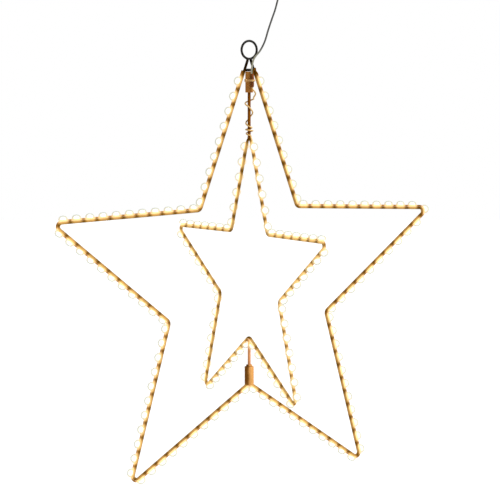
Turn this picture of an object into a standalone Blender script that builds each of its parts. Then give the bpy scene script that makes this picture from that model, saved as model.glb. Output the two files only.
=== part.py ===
# Hanging star with lights: a small star turns inside a large one
# The origin is the centre of the hanging ring, and the large star lies in the XZ plane
import math

import bmesh
import bpy
import numpy as np
from mathutils import Euler, Matrix, Vector

# Stars: distance of the sharp corners from each star's middle
ARM_COUNT = 5
OUTER_TIP_RADIUS = 0.300
OUTER_NOTCH_RADIUS = 0.1254
INNER_TIP_RADIUS = 0.192
INNER_NOTCH_RADIUS = 0.0745
INNER_STAR_LIFT = 0.0096
INNER_STAR_TURN = -math.pi / 2

# Rod of both stars
ROD_DIAMETER = 0.0035
TIP_BEND_RADIUS = 0.0045
NOTCH_BEND_RADIUS = 0.007

# Gap between touching pieces
CLEARANCE = 0.0003

# Hanging ring, and the two rod ends under it
RING_DIAMETER = 0.026
RING_WIRE_DIAMETER = 0.003
ROD_END_GAP = 0.0015
CROSSBAR_DROP = 0.019

# Pivot of the inner star
TOP_SLEEVE_DIAMETER = 0.010
TOP_SLEEVE_LENGTH = 0.027
BOTTOM_SLEEVE_DIAMETER = 0.012
BOTTOM_SLEEVE_LENGTH = 0.0245
PIVOT_DIAMETER = 0.004
TOP_ROD_END_DEPTH = 0.002
COLLAR_DIAMETER = 0.008
COLLAR_HEIGHT = 0.002
SLEEVE_EDGE_BEVEL = 0.0004

# Light string: its cable, and the lens lights on it
STRING_DIAMETER = 0.0018
LIGHT_DIAMETER = 0.0122
LIGHT_HEIGHT = 0.0061
LIGHT_SINK = 0.0006
LIGHT_PITCH = 0.0195
LENS_PROFILE_SHARES = ((1.0, 0.0), (0.80, 0.66))
LIGHT_PAIR_GAP = 0.014
BESIDE_TIP_LIGHT_GAP = 0.025
OUTER_APEX_LIGHT_GAP = 0.037
INNER_APEX_LIGHT_GAP = 0.022
STRING_END_FROM_APEX = 0.022
INNER_STRING_END_FROM_APEX = 0.0155
LEG_WRAP_LENGTH = 0.0075
PIN_DETOUR_LENGTH = 0.012

# Supply cord and the joint where it meets the strings
CORD_DIAMETER = 0.0023
JOINT_DIAMETER = 0.0048
JOINT_LENGTH = 0.017
JOINT_DROP = 0.003
JOINT_TIE_THICKNESS = 0.0009
JOINT_TIE_HEIGHT = 0.0026

# Lead wound round the top rod
WINDING_TOP_GAP = 0.0065
WINDING_TOP_RADIUS = 0.0058
WINDING_TOP_ANGLE = -math.pi / 4
WINDING_TURNS = 3.875
WINDING_BULGE = 0.0014
WINDING_BULGES = 4
WINDING_FOOT_GAP = 0.0030
WINDING_HEIGHT_SHARES = (0.0, 0.22, 0.68, 0.82, 0.88, 1.0)

# Hank of spare cord above the star, and its tie
HANK_CENTRE_X = 0.0320
HANK_CENTRE_Z = 0.1115
HANK_FRONT_Y = -0.0070
HANK_RUN_LENGTH = 0.0414
HANK_INNER_HALF_WIDTH = 0.0070
HANK_WAIST_DEPTH = 0.0028
HANK_STEP = 0.0029
HANK_LAYER_STEP = 0.0028
HANK_LAYERS = 4
HANK_LAYER_TURNS = 2.5
HANK_TIE_THICKNESS = 0.0011
HANK_TIE_HEIGHT = 0.007

# Plug-in power supply
ADAPTER_X = 0.0690
ADAPTER_TOP_Z = 0.1440
ADAPTER_WIDTH = 0.032
ADAPTER_DEPTH = 0.024
ADAPTER_HEIGHT = 0.052
ADAPTER_WALL = 0.0018
ADAPTER_CORNER = 0.003
ADAPTER_BASE_THICKNESS = 0.003
PIN_INNER_LENGTH = 0.003
BOARD_THICKNESS = 0.0016
TRANSFORMER_WIDTH = 0.016
TRANSFORMER_HEIGHT = 0.018
TRANSFORMER_DEPTH = 0.010
PIN_DIAMETER = 0.004
PIN_LENGTH = 0.019
PIN_SPACING = 0.0186
PIN_DROP = 0.030
RELIEF_LENGTH = 0.014
RELIEF_FOOT_DIAMETER = 0.0064
RELIEF_TIP_DIAMETER = 0.0040

# Mesh fineness
BEND_STEPS_TIP = 6
BEND_STEPS_NOTCH = 4
RING_STEPS = 32
ROUND_SIDES = 16
LENS_SIDES = 8
TUBE_BEVEL_RESOLUTION = 2
STRING_BEVEL_RESOLUTION = 0
FORM_BEVEL_RESOLUTION = 1
LOOP_STEPS = 24
HANK_RUN_STEPS = 5
CORD_POINT_SPACING_DIAMETERS = 2.5
BAND_STEPS = 28
BOX_BEVEL_STEPS = 2
PIN_DETOUR_STEPS = 4
LEG_WRAP_STEPS = 4
WINDING_LEAD_IN_STEPS = 4
ROUTE_SAMPLES = 40
EDGE_SMOOTH_ANGLE = math.radians(35)
CUT_OVERRUN = 0.002
WELD_DISTANCE = 0.000001

# Stretches of a light string, clockwise from its start at the top
STRETCH_NAMES = ("top_right", "right", "lower_right", "lower_left", "left", "top_left")

# Distance from each stretch's tip to its nearest light; only the large star's right tip has one on it
OUTER_LIGHT_GAPS = (OUTER_APEX_LIGHT_GAP, BESIDE_TIP_LIGHT_GAP, LIGHT_PAIR_GAP, LIGHT_PAIR_GAP,
                    LIGHT_PAIR_GAP, OUTER_APEX_LIGHT_GAP)
INNER_LIGHT_GAPS = (INNER_APEX_LIGHT_GAP, LIGHT_PAIR_GAP, LIGHT_PAIR_GAP, LIGHT_PAIR_GAP,
                    LIGHT_PAIR_GAP, INNER_APEX_LIGHT_GAP)

# Route of the supply cord from above the joint to the hank, from the ring's centre
SUPPLY_ROUTE = (
    (-0.0011, -0.0076, -0.0265),
    (0.0003, -0.0072, -0.0190),
    (0.0026, -0.0066, -0.0125),
    (0.0064, -0.0063, -0.0075),
    (0.0112, -0.0062, -0.0030),
    (0.0159, -0.0062, 0.0035),
    (0.0203, -0.0064, 0.0120),
    (0.0243, -0.0066, 0.0238),
    (0.0275, -0.0068, 0.0325),
    (0.0315, -0.0069, 0.0425),
    (0.0350, -0.0070, 0.0510),
    (0.0385, -0.0070, 0.0620),
    (0.0420, -0.0070, 0.0740),
)

# Route of the last stretch from the hank over to the adapter, from the ring's centre
PLUG_ROUTE = (
    (0.0468, 0.0014, 0.1480),
    (0.0495, 0.0014, 0.1600),
    (0.0575, 0.0014, 0.1690),
    (0.0655, 0.0014, 0.1670),
)

# Route of the lead from the joint's foot to the winding, from the ring's centre
LEAD_ROUTE = (
    (0.0010, -0.0081, -0.0515),
    (0.0032, -0.0085, -0.0540),
    (0.0050, -0.0075, -0.0568),
)

COLOURS = {
    "frame_paint": ((0.075, 0.038, 0.014), 0.42, 0.55),
    "ring_paint": ((0.012, 0.010, 0.008), 0.38, 0.40),
    "sleeve_copper": ((0.46, 0.22, 0.075), 0.34, 0.80),
    "string_cable": ((0.62, 0.38, 0.14), 0.35, 0.0),
    "lens": ((1.0, 0.86, 0.58), 0.20, 0.0),
    "cord": ((0.16, 0.16, 0.15), 0.45, 0.0),
    "tie": ((0.55, 0.36, 0.16), 0.40, 0.0),
    "adapter": ((0.03, 0.03, 0.03), 0.45, 0.0),
    "board": ((0.05, 0.20, 0.08), 0.50, 0.0),
    "pin_metal": ((0.72, 0.70, 0.66), 0.25, 1.0),
}


def clear_scene():
    for obj in list(bpy.data.objects):
        bpy.data.objects.remove(obj, do_unlink=True)


def make_material(name):
    colour, roughness, metallic = COLOURS[name]
    material = bpy.data.materials.get(name) or bpy.data.materials.new(name)
    material.use_nodes = True
    shader = material.node_tree.nodes["Principled BSDF"]
    shader.inputs["Base Color"].default_value = (*colour, 1.0)
    shader.inputs["Roughness"].default_value = roughness
    shader.inputs["Metallic"].default_value = metallic
    return material


def add_empty(name, location, parent=None, turn=0.0):
    empty = bpy.data.objects.new(name, None)
    bpy.context.scene.collection.objects.link(empty)
    empty.parent = parent
    empty.location = location
    empty.rotation_euler = Euler((0.0, 0.0, turn))
    return empty


def add_object(name, data, material, parent, location=(0.0, 0.0, 0.0), rotation=(0.0, 0.0, 0.0)):
    obj = bpy.data.objects.new(name, data)
    bpy.context.scene.collection.objects.link(obj)
    obj.parent = parent
    obj.location = location
    obj.rotation_euler = Euler(rotation)
    data.materials.append(make_material(material))
    return obj


def add_tube(name, points, diameter, material, parent, closed=False, fineness=TUBE_BEVEL_RESOLUTION):
    curve = bpy.data.curves.new(name, "CURVE")
    curve.dimensions = "3D"
    curve.bevel_depth = diameter / 2
    curve.bevel_resolution = fineness
    curve.use_fill_caps = True
    curve.render_resolution_u = 0
    spline = curve.splines.new("POLY")
    spline.points.add(len(points) - 1)
    for spline_point, point in zip(spline.points, points):
        spline_point.co = (*point, 1.0)
    spline.use_cyclic_u = closed
    return add_object(name, curve, material, parent)


def add_turned(name, profile, material, parent, location, rotation=(0.0, 0.0, 0.0), sides=ROUND_SIDES):
    """Turn a closed profile of (radius, height) pairs about the local Z axis."""
    mesh = bmesh.new()
    rings = []
    for radius, height in profile:
        ring = []
        for k in range(sides):
            angle = 2 * math.pi * k / sides
            ring.append(mesh.verts.new((radius * math.cos(angle), radius * math.sin(angle), height)))
        rings.append(ring)
    for low, high in zip(rings, rings[1:] + rings[:1]):
        for k in range(sides):
            mesh.faces.new((low[k], low[(k + 1) % sides], high[(k + 1) % sides], high[k]))
    return finish_mesh(name, mesh, material, parent, location, rotation)


def add_round_bar(name, diameter, length, material, parent, location, rotation=(0.0, 0.0, 0.0)):
    """A solid round bar whose foot is at the location and whose length runs up the local Z axis."""
    mesh = bmesh.new()
    radius = diameter / 2
    bmesh.ops.create_cone(mesh, cap_ends=True, segments=ROUND_SIDES, radius1=radius, radius2=radius, depth=length)
    bmesh.ops.translate(mesh, verts=mesh.verts, vec=(0.0, 0.0, length / 2))
    return finish_mesh(name, mesh, material, parent, location, rotation)


def finish_mesh(name, mesh, material, parent, location=(0.0, 0.0, 0.0), rotation=(0.0, 0.0, 0.0)):
    bmesh.ops.recalc_face_normals(mesh, faces=mesh.faces)
    data = bpy.data.meshes.new(name)
    mesh.to_mesh(data)
    mesh.free()
    data.shade_smooth()
    data.set_sharp_from_angle(angle=EDGE_SMOOTH_ANGLE)
    return add_object(name, data, material, parent, location, rotation)


def add_bevel(obj, width):
    bevel = obj.modifiers.new("edge", "BEVEL")
    bevel.width = width
    bevel.segments = 1
    bevel.limit_method = "ANGLE"


def combine(obj, helper, operation="DIFFERENCE"):
    helper.hide_render = True
    helper.display_type = "WIRE"
    modifier = obj.modifiers.new("combine", "BOOLEAN")
    modifier.operation = operation
    modifier.solver = "EXACT"
    modifier.object = helper


def tube_as_mesh(tube):
    """The same tube as a mesh object, with its caps welded on, which a Boolean can take."""
    mesh = bmesh.new()
    mesh.from_mesh(bpy.data.meshes.new_from_object(tube))
    bmesh.ops.remove_doubles(mesh, verts=mesh.verts, dist=WELD_DISTANCE)
    name, parent, material = tube.name, tube.parent, tube.data.materials[0].name
    bpy.data.objects.remove(tube)
    return finish_mesh(name, mesh, material, parent)


def smooth_route(route, spacing):
    """Points at an even spacing along one smooth curve through the route's points."""
    knots = [Vector(p) for p in route]
    first = knots[0] + (knots[0] - knots[1])
    last = knots[-1] + (knots[-1] - knots[-2])
    knots = [first] + knots + [last]
    fine = []
    for a, b, c, d in zip(knots, knots[1:], knots[2:], knots[3:]):
        for k in range(ROUTE_SAMPLES):
            t = k / ROUTE_SAMPLES
            bend = 2 * b + (c - a) * t + (2 * a - 5 * b + 4 * c - d) * t ** 2 + (3 * b - a - 3 * c + d) * t ** 3
            fine.append(bend / 2)
    fine.append(knots[-2])
    lengths = [0.0]
    for a, b in zip(fine, fine[1:]):
        lengths.append(lengths[-1] + (b - a).length)
    count = max(2, round(lengths[-1] / spacing))
    stops = np.linspace(0.0, lengths[-1], count + 1)
    columns = [np.interp(stops, lengths, [p[axis] for p in fine]) for axis in range(3)]
    return [Vector(p) for p in zip(*columns)]


def path_length(points):
    return sum((Vector(b) - Vector(a)).length for a, b in zip(points, points[1:]))


class Star:
    """A star with round bends, in its own XZ plane with its middle at the origin."""

    def __init__(self, tip_radius, notch_radius):
        self.tip_radius = tip_radius
        self.notch_radius = notch_radius
        half_step = math.pi / ARM_COUNT
        run = notch_radius * math.sin(half_step)
        rise = tip_radius - notch_radius * math.cos(half_step)
        self.edge_length = math.hypot(run, rise)
        self.tip_half_angle = math.atan2(run, rise)
        self.notch_half_angle = self.tip_half_angle + half_step
        self.tip_bend_centre = tip_radius - TIP_BEND_RADIUS / math.sin(self.tip_half_angle)
        self.notch_bend_centre = notch_radius + NOTCH_BEND_RADIUS / math.sin(self.notch_half_angle)

    def corner_angle(self, corner):
        return math.pi / 2 - corner * math.pi / ARM_COUNT

    def tip_bend(self, corner, offset):
        """Points round a tip, clockwise, on a line that lies outside the rod's centre line."""
        middle = self.corner_angle(corner)
        sweep = math.pi / 2 - self.tip_half_angle
        centre = polar(self.tip_bend_centre, middle)
        radius = TIP_BEND_RADIUS + offset
        angles = np.linspace(middle + sweep, middle - sweep, BEND_STEPS_TIP + 1)
        return [centre + polar(radius, angle) for angle in angles]

    def notch_bend(self, corner, offset):
        """Points round a notch, clockwise, on the same line."""
        middle = self.corner_angle(corner)
        sweep = math.pi / 2 - self.notch_half_angle
        centre = polar(self.notch_bend_centre, middle)
        radius = NOTCH_BEND_RADIUS - offset
        angles = np.linspace(middle - sweep, middle + sweep, BEND_STEPS_NOTCH + 1)
        return [centre - polar(radius, angle) for angle in angles]

    def bends(self, first, last, offset):
        points = []
        for corner in range(first, last + 1):
            bend = self.notch_bend if corner % 2 else self.tip_bend
            points.extend(bend(corner, offset))
        return points

    def leg_point(self, from_apex, offset, side):
        """A point on one of the two edges at the apex, offset to the outside; side is 1 or -1."""
        a = self.tip_half_angle
        x = from_apex * math.sin(a) + offset * math.cos(a)
        z = self.tip_radius - from_apex * math.cos(a) + offset * math.sin(a)
        return Vector((side * x, 0.0, z))

    def notch_depth(self):
        """Distance of the rod's centre line from the star's middle at a notch."""
        return self.notch_bend_centre - NOTCH_BEND_RADIUS

    def tip_reach(self):
        """Distance of the rod's centre line from the star's middle at a tip."""
        return self.tip_bend_centre + TIP_BEND_RADIUS


def polar(radius, angle):
    return Vector((radius * math.cos(angle), 0.0, radius * math.sin(angle)))


OUTER = Star(OUTER_TIP_RADIUS, OUTER_NOTCH_RADIUS)
INNER = Star(INNER_TIP_RADIUS, INNER_NOTCH_RADIUS)

ROD_RADIUS = ROD_DIAMETER / 2
STRING_OFFSET = ROD_RADIUS + CLEARANCE + STRING_DIAMETER / 2
LIGHT_OFFSET = ROD_RADIUS + CLEARANCE + STRING_DIAMETER - LIGHT_SINK

# Heights above the large star's middle
ROD_END_X = ROD_END_GAP / 2 + ROD_RADIUS * math.cos(OUTER.tip_half_angle)
ROD_END_FROM_APEX = ROD_END_X / math.sin(OUTER.tip_half_angle)
ROD_END_Z = OUTER_TIP_RADIUS - ROD_END_FROM_APEX * math.cos(OUTER.tip_half_angle)
ROD_CORNER_X = ROD_END_X + ROD_RADIUS * math.cos(OUTER.tip_half_angle)
ROD_CORNER_Z = ROD_END_Z + ROD_RADIUS * math.sin(OUTER.tip_half_angle)
RING_Z = ROD_CORNER_Z + CLEARANCE + math.sqrt((RING_DIAMETER / 2) ** 2 - ROD_CORNER_X ** 2)
CROSSBAR_Z = OUTER_TIP_RADIUS - CROSSBAR_DROP
TOP_SLEEVE_TOP_Z = CROSSBAR_Z - ROD_RADIUS - CLEARANCE
TOP_SLEEVE_FOOT_Z = TOP_SLEEVE_TOP_Z - TOP_SLEEVE_LENGTH
BOTTOM_ROD_Z = -OUTER.notch_depth()
BOTTOM_SLEEVE_FOOT_Z = BOTTOM_ROD_Z - ROD_RADIUS
BOTTOM_SLEEVE_TOP_Z = BOTTOM_SLEEVE_FOOT_Z + BOTTOM_SLEEVE_LENGTH
INNER_APEX_Z = INNER_STAR_LIFT + INNER.tip_reach() + ROD_RADIUS
INNER_BOTTOM_Z = INNER_STAR_LIFT - INNER.notch_depth() - ROD_RADIUS
BORE_DIAMETER = (PIVOT_DIAMETER + 2 * CLEARANCE) / math.cos(math.pi / ROUND_SIDES)

# The joint stands against the front of the top sleeve
JOINT_Y = -(TOP_SLEEVE_DIAMETER / 2 + CLEARANCE + JOINT_DIAMETER / 2)
JOINT_TOP_Z = TOP_SLEEVE_TOP_Z - JOINT_DROP
JOINT_FOOT_Z = JOINT_TOP_Z - JOINT_LENGTH
CORD_IN_JOINT_X = -(JOINT_DIAMETER / 2 - CORD_DIAMETER / 2) + CLEARANCE / 2
STRING_IN_JOINT_X = JOINT_DIAMETER / 2 - STRING_DIAMETER / 2 - CLEARANCE / 2
WINDING_TOP_Z = TOP_SLEEVE_FOOT_Z - WINDING_TOP_GAP


def make_outer_frame(centre):
    ends = [OUTER.leg_point(ROD_END_FROM_APEX, 0.0, side) for side in (1, -1)]
    points = [ends[0]] + OUTER.bends(1, 2 * ARM_COUNT - 1, 0.0) + [ends[1]]
    add_tube("outer_frame", points, ROD_DIAMETER, "frame_paint", centre)


def make_ring(centre):
    middle_radius = (RING_DIAMETER - RING_WIRE_DIAMETER) / 2
    points = []
    for k in range(RING_STEPS):
        points.append(Vector((0.0, 0.0, RING_Z)) + polar(middle_radius, 2 * math.pi * k / RING_STEPS))
    add_tube("hanging_ring", points, RING_WIRE_DIAMETER, "ring_paint", centre, closed=True)


def make_crossbar(centre):
    leg_x = CROSSBAR_DROP * math.tan(OUTER.tip_half_angle)
    slope_rise = ROD_RADIUS * math.tan(OUTER.tip_half_angle)
    half_length = leg_x - ROD_RADIUS / math.cos(OUTER.tip_half_angle) - slope_rise - CLEARANCE
    add_round_bar("crossbar", ROD_DIAMETER, 2 * half_length, "frame_paint", centre,
                  (-half_length, 0.0, CROSSBAR_Z), (0.0, math.pi / 2, 0.0))


def make_top_sleeve(centre):
    outer, inner = TOP_SLEEVE_DIAMETER / 2, BORE_DIAMETER / 2
    profile = ((inner, 0.0), (outer, 0.0), (outer, TOP_SLEEVE_LENGTH), (inner, TOP_SLEEVE_LENGTH))
    sleeve = add_turned("top_sleeve", profile, "sleeve_copper", centre, (0.0, 0.0, TOP_SLEEVE_FOOT_Z))
    add_bevel(sleeve, SLEEVE_EDGE_BEVEL)


def make_bottom_sleeve(centre):
    outer, inner = BOTTOM_SLEEVE_DIAMETER / 2, BORE_DIAMETER / 2
    profile = ((inner, 0.0), (outer, 0.0), (outer, BOTTOM_SLEEVE_LENGTH), (inner, BOTTOM_SLEEVE_LENGTH))
    place = (0.0, 0.0, BOTTOM_SLEEVE_FOOT_Z)
    sleeve = add_turned("bottom_sleeve", profile, "sleeve_copper", centre, place)
    bend = OUTER.notch_bend(ARM_COUNT, 0.0)
    reach = BOTTOM_SLEEVE_DIAMETER
    start = bend[0] + (bend[0] - bend[1]).normalized() * reach
    end = bend[-1] + (bend[-1] - bend[-2]).normalized() * reach
    saddle_diameter = ROD_DIAMETER + 2 * CLEARANCE
    saddle = add_tube("saddle_cutter", [start] + bend + [end], saddle_diameter, "frame_paint", centre)
    combine(sleeve, tube_as_mesh(saddle))


def lens_mesh_into(mesh, place, outward, along):
    """Add one lens light: a low dome whose flat seat faces the rod."""
    side = outward.cross(along)
    rings = []
    for radius_share, height_share in LENS_PROFILE_SHARES:
        ring = []
        for k in range(LENS_SIDES):
            angle = 2 * math.pi * (k + 1 / 2) / LENS_SIDES
            spread = along * math.cos(angle) + side * math.sin(angle)
            point = place + spread * (LIGHT_DIAMETER / 2 * radius_share) + outward * (LIGHT_HEIGHT * height_share)
            ring.append(mesh.verts.new(point))
        rings.append(ring)
    crown = mesh.verts.new(place + outward * LIGHT_HEIGHT)
    mesh.faces.new(rings[0])
    for low, high in zip(rings, rings[1:]):
        for k in range(LENS_SIDES):
            mesh.faces.new((low[k], low[(k + 1) % LENS_SIDES], high[(k + 1) % LENS_SIDES], high[k]))
    for k in range(LENS_SIDES):
        mesh.faces.new((rings[-1][k], rings[-1][(k + 1) % LENS_SIDES], crown))


def light_places(star, room, end_gap):
    """Distances of an edge's lights from the notch's sharp corner, up to a gap from the tip's."""
    slope = math.tan(star.notch_half_angle)
    first = room / math.sin(star.notch_half_angle) + LIGHT_OFFSET / slope + max(
        radius_share * LIGHT_DIAMETER / 2 + height_share * LIGHT_HEIGHT / slope
        for radius_share, height_share in LENS_PROFILE_SHARES)
    last = star.edge_length - end_gap
    return np.linspace(first, last, round((last - first) / LIGHT_PITCH) + 1)


def arm_lens_mesh(star, arm, sides, end_gap, bottom_room):
    """The lens lights of one arm, on the edge or edges named by the sides, 1 or -1."""
    mesh = bmesh.new()
    corner = 2 * arm
    middle = star.corner_angle(corner)
    tip = polar(star.tip_radius, middle)
    for side in sides:
        notch = polar(star.notch_radius, star.corner_angle(corner + side))
        along = (tip - notch).normalized()
        outward = Vector((0.0, 1.0, 0.0)).cross(along) * side
        room = bottom_room if corner + side == ARM_COUNT else CLEARANCE
        for distance in light_places(star, room, end_gap):
            lens_mesh_into(mesh, notch + along * distance + outward * LIGHT_OFFSET, outward, along)
    if end_gap == BESIDE_TIP_LIGHT_GAP:
        outward = polar(1.0, middle)
        along = outward.cross(Vector((0.0, 1.0, 0.0)))
        lens_mesh_into(mesh, outward * (star.tip_reach() + LIGHT_OFFSET), outward, along)
    return mesh


def string_stretches(star, start, end, bottom_shift=0.0):
    """Clockwise, the cable's route in one stretch for each arm, and two for the top arm."""
    stretches = [start]
    for notch in range(1, 2 * ARM_COUNT, 2):
        bend = star.notch_bend(notch, STRING_OFFSET)
        middle = len(bend) // 2
        before, after = bend[:middle + 1], bend[middle:]
        if notch == ARM_COUNT and bottom_shift:
            before = side_step(before[::-1], stretches[-1][-1], bottom_shift)[::-1]
            after = side_step(after, star.tip_bend(notch + 1, STRING_OFFSET)[0], bottom_shift)
        stretches[-1] = stretches[-1] + before
        stretches.append(after)
        if notch < 2 * ARM_COUNT - 1:
            stretches[-1] = stretches[-1] + star.tip_bend(notch + 1, STRING_OFFSET)
    stretches[-1] = stretches[-1] + end
    for left, right in zip(stretches, stretches[1:]):
        left[-1] = left[-1] + (left[-2] - left[-1]).normalized() * CLEARANCE
        right[0] = right[0] + (right[1] - right[0]).normalized() * CLEARANCE
    return stretches


def side_step(half_bend, next_point, shift):
    """Half a bend, from its middle outwards, moved forwards, and the way back into the star's plane."""
    forward = Vector((0.0, -shift, 0.0))
    leave = (next_point - half_bend[-1]).normalized()
    points = [point + forward for point in half_bend]
    for k in range(1, PIN_DETOUR_STEPS + 1):
        share = k / PIN_DETOUR_STEPS
        ease = (1 + math.cos(math.pi * share)) / 2
        points.append(half_bend[-1] + leave * (PIN_DETOUR_LENGTH * share) + forward * ease)
    return points


def make_light_string(prefix, star, stretches, centre, end_gaps, bottom_room=CLEARANCE):
    """Cable and lens lights are moulded together, so each stretch of the string is one solid."""
    arms = [0] + list(range(1, ARM_COUNT)) + [0]
    for name, arm, end_gap, points in zip(STRETCH_NAMES, arms, end_gaps, stretches):
        sides = (1, -1) if arm else (1,) if name == STRETCH_NAMES[0] else (-1,)
        cable = add_tube(f"{prefix}_{name}", points, STRING_DIAMETER, "string_cable", centre,
                         fineness=STRING_BEVEL_RESOLUTION)
        lens_mesh = arm_lens_mesh(star, arm, sides, end_gap, bottom_room)
        lenses = finish_mesh(f"{prefix}_{name}_lenses", lens_mesh, "lens", centre)
        combine(tube_as_mesh(cable), lenses, "UNION")


def make_outer_string(centre):
    joint_top = Vector((STRING_IN_JOINT_X, JOINT_Y, JOINT_TOP_Z + CLEARANCE))
    rise = Vector((0.0, 0.0, STRING_DIAMETER))
    round_leg = []
    for share in np.linspace(0.0, 1.0, LEG_WRAP_STEPS + 1):
        angle = math.pi / 2 * share
        point = OUTER.leg_point(STRING_END_FROM_APEX + LEG_WRAP_LENGTH * share, STRING_OFFSET * math.sin(angle), 1)
        round_leg.append(point + Vector((0.0, -STRING_OFFSET * math.cos(angle), 0.0)))
    bend_over = (joint_top + rise * 2 + round_leg[0]) / 2 + Vector((0.0, -STRING_DIAMETER, STRING_DIAMETER * 2))
    feed = smooth_route([joint_top, joint_top + rise * 2, bend_over] + round_leg,
                        STRING_DIAMETER * CORD_POINT_SPACING_DIAMETERS / 2)
    end = OUTER.leg_point(STRING_END_FROM_APEX, STRING_OFFSET, -1)
    stretches = string_stretches(OUTER, feed, [end])
    make_light_string("outer_lights", OUTER, stretches, centre, OUTER_LIGHT_GAPS)


def hull_outline(circles, extra, steps):
    """The tight closed line round a set of circles in the XY plane, each (x, y, radius)."""
    points = []
    for k in range(steps):
        angle = 2 * math.pi * (k + 1 / 2) / steps
        direction = Vector((math.cos(angle), math.sin(angle)))
        x, y, radius = max(circles, key=lambda c: c[0] * direction.x + c[1] * direction.y + c[2])
        points.append((x + direction.x * (radius + extra), y + direction.y * (radius + extra)))
    return points


def add_band(name, circles, thickness, height, material, parent, location):
    """A strap round a set of circles, with its lower edge at the location."""
    mesh = bmesh.new()
    loops = []
    for extra, level in ((CLEARANCE, 0.0), (CLEARANCE, height),
                         (CLEARANCE + thickness, height), (CLEARANCE + thickness, 0.0)):
        outline = hull_outline(circles, extra, BAND_STEPS)
        loops.append([mesh.verts.new((x, y, level)) for x, y in outline])
    for low, high in zip(loops, loops[1:] + loops[:1]):
        for k in range(BAND_STEPS):
            mesh.faces.new((low[k], low[(k + 1) % BAND_STEPS], high[(k + 1) % BAND_STEPS], high[k]))
    return finish_mesh(name, mesh, material, parent, location)


def box_mesh(low, high, corner=0.0):
    """A box between two corners, with its edges bevelled where a corner size is given."""
    mesh = bmesh.new()
    size = [b - a for a, b in zip(low, high)]
    middle = [(a + b) / 2 for a, b in zip(low, high)]
    bmesh.ops.create_cube(mesh, size=1, matrix=Matrix.LocRotScale(Vector(middle), None, Vector(size)))
    if corner:
        bmesh.ops.bevel(mesh, geom=mesh.edges[:], offset=corner, segments=BOX_BEVEL_STEPS, profile=1 / 2,
                        affect="EDGES")
    return mesh


def least_gap(name, points, diameter, loop_steps):
    """Print the least clear gap between one stretch of a wound tube and any other."""
    places = np.array([tuple(p) for p in points])
    least = math.inf
    for k in range(len(places)):
        later = places[k + loop_steps // 2:]
        if len(later):
            least = min(least, float(np.linalg.norm(later - places[k], axis=1).min()))
    print(name, "least gap to itself", round(least - diameter, 6), "m")


def make_joint(centre):
    place = (0.0, JOINT_Y, JOINT_FOOT_Z)
    joint = add_round_bar("cord_joint", JOINT_DIAMETER, JOINT_LENGTH, "string_cable", centre, place)
    add_bevel(joint, SLEEVE_EDGE_BEVEL)
    circles = ((0.0, 0.0, TOP_SLEEVE_DIAMETER / 2), (0.0, JOINT_Y, JOINT_DIAMETER / 2))
    tie_z = (JOINT_TOP_Z + JOINT_FOOT_Z - JOINT_TIE_HEIGHT) / 2
    add_band("joint_tie", circles, JOINT_TIE_THICKNESS, JOINT_TIE_HEIGHT, "tie", centre, (0.0, 0.0, tie_z))


def winding_top():
    """Where the lead and the winding meet, in the world's directions, from the large star's middle."""
    reach = WINDING_TOP_RADIUS
    return Vector((reach * math.cos(WINDING_TOP_ANGLE), reach * math.sin(WINDING_TOP_ANGLE), WINDING_TOP_Z))


def make_inner_lead(centre):
    drop = Vector((0.0, 0.0, STRING_DIAMETER))
    start = Vector((0.0, JOINT_Y, JOINT_FOOT_Z - CLEARANCE))
    end = winding_top() + Vector((0.0, 0.0, CLEARANCE))
    lift = Vector((0.0, 0.0, RING_Z))
    route = [start - drop] + [Vector(p) + lift for p in LEAD_ROUTE] + [end + drop]
    points = [start] + smooth_route(route, STRING_DIAMETER) + [end]
    add_tube("inner_lead", points, STRING_DIAMETER, "string_cable", centre)


def winding_share(turn):
    """How far down its height the winding is after so many turns, on one smooth curve."""
    steps = len(WINDING_HEIGHT_SHARES) - 1
    position = min(max(turn / WINDING_TURNS, 0.0), 1.0) * steps
    k = min(int(position), steps - 1)
    t = position - k
    table = WINDING_HEIGHT_SHARES
    a, b, c, d = (table[min(max(i, 0), steps)] for i in range(k - 1, k + 3))
    return (2 * b + (c - a) * t + (2 * a - 5 * b + 4 * c - d) * t ** 2 + (3 * b - a - 3 * c + d) * t ** 3) / 2


def make_winding(axis):
    """The lead round the top rod: loose turns that end on the small star's right leg."""
    start = winding_top()
    start_angle = WINDING_TOP_ANGLE - INNER_STAR_TURN
    foot_z = INNER_APEX_Z + WINDING_FOOT_GAP
    base = PIVOT_DIAMETER / 2 + CLEARANCE + STRING_DIAMETER / 2
    first = Vector((WINDING_TOP_RADIUS * math.cos(start_angle), WINDING_TOP_RADIUS * math.sin(start_angle), start.z))
    route = [first - Vector((0.0, 0.0, STRING_DIAMETER))]
    steps = round(WINDING_TURNS * LOOP_STEPS / 2)
    for k in range(WINDING_LEAD_IN_STEPS, steps + 1):
        turn = WINDING_TURNS * k / steps
        share = winding_share(turn)
        spread = max(0.0, 1 - turn) ** 2
        radius = base + WINDING_BULGE * math.sin(math.pi * WINDING_BULGES * share) ** 2
        radius += (WINDING_TOP_RADIUS - base) * spread
        angle = start_angle + 2 * math.pi * turn
        z = start.z - STRING_DIAMETER + (foot_z - start.z + STRING_DIAMETER) * share
        route.append(Vector((radius * math.cos(angle), radius * math.sin(angle), z)))
    lift = Vector((0.0, 0.0, INNER_STAR_LIFT))
    stop = INNER_STRING_END_FROM_APEX - CLEARANCE
    route.append(INNER.leg_point(stop - STRING_DIAMETER, STRING_OFFSET, 1) + lift)
    end = INNER.leg_point(stop, STRING_OFFSET, 1) + lift
    points = [first] + smooth_route(route, path_length(route) / (WINDING_TURNS * LOOP_STEPS)) + [end]
    least_gap("lead_winding", points, STRING_DIAMETER, LOOP_STEPS)
    add_tube("lead_winding", points, STRING_DIAMETER, "string_cable", axis, fineness=FORM_BEVEL_RESOLUTION)


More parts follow.
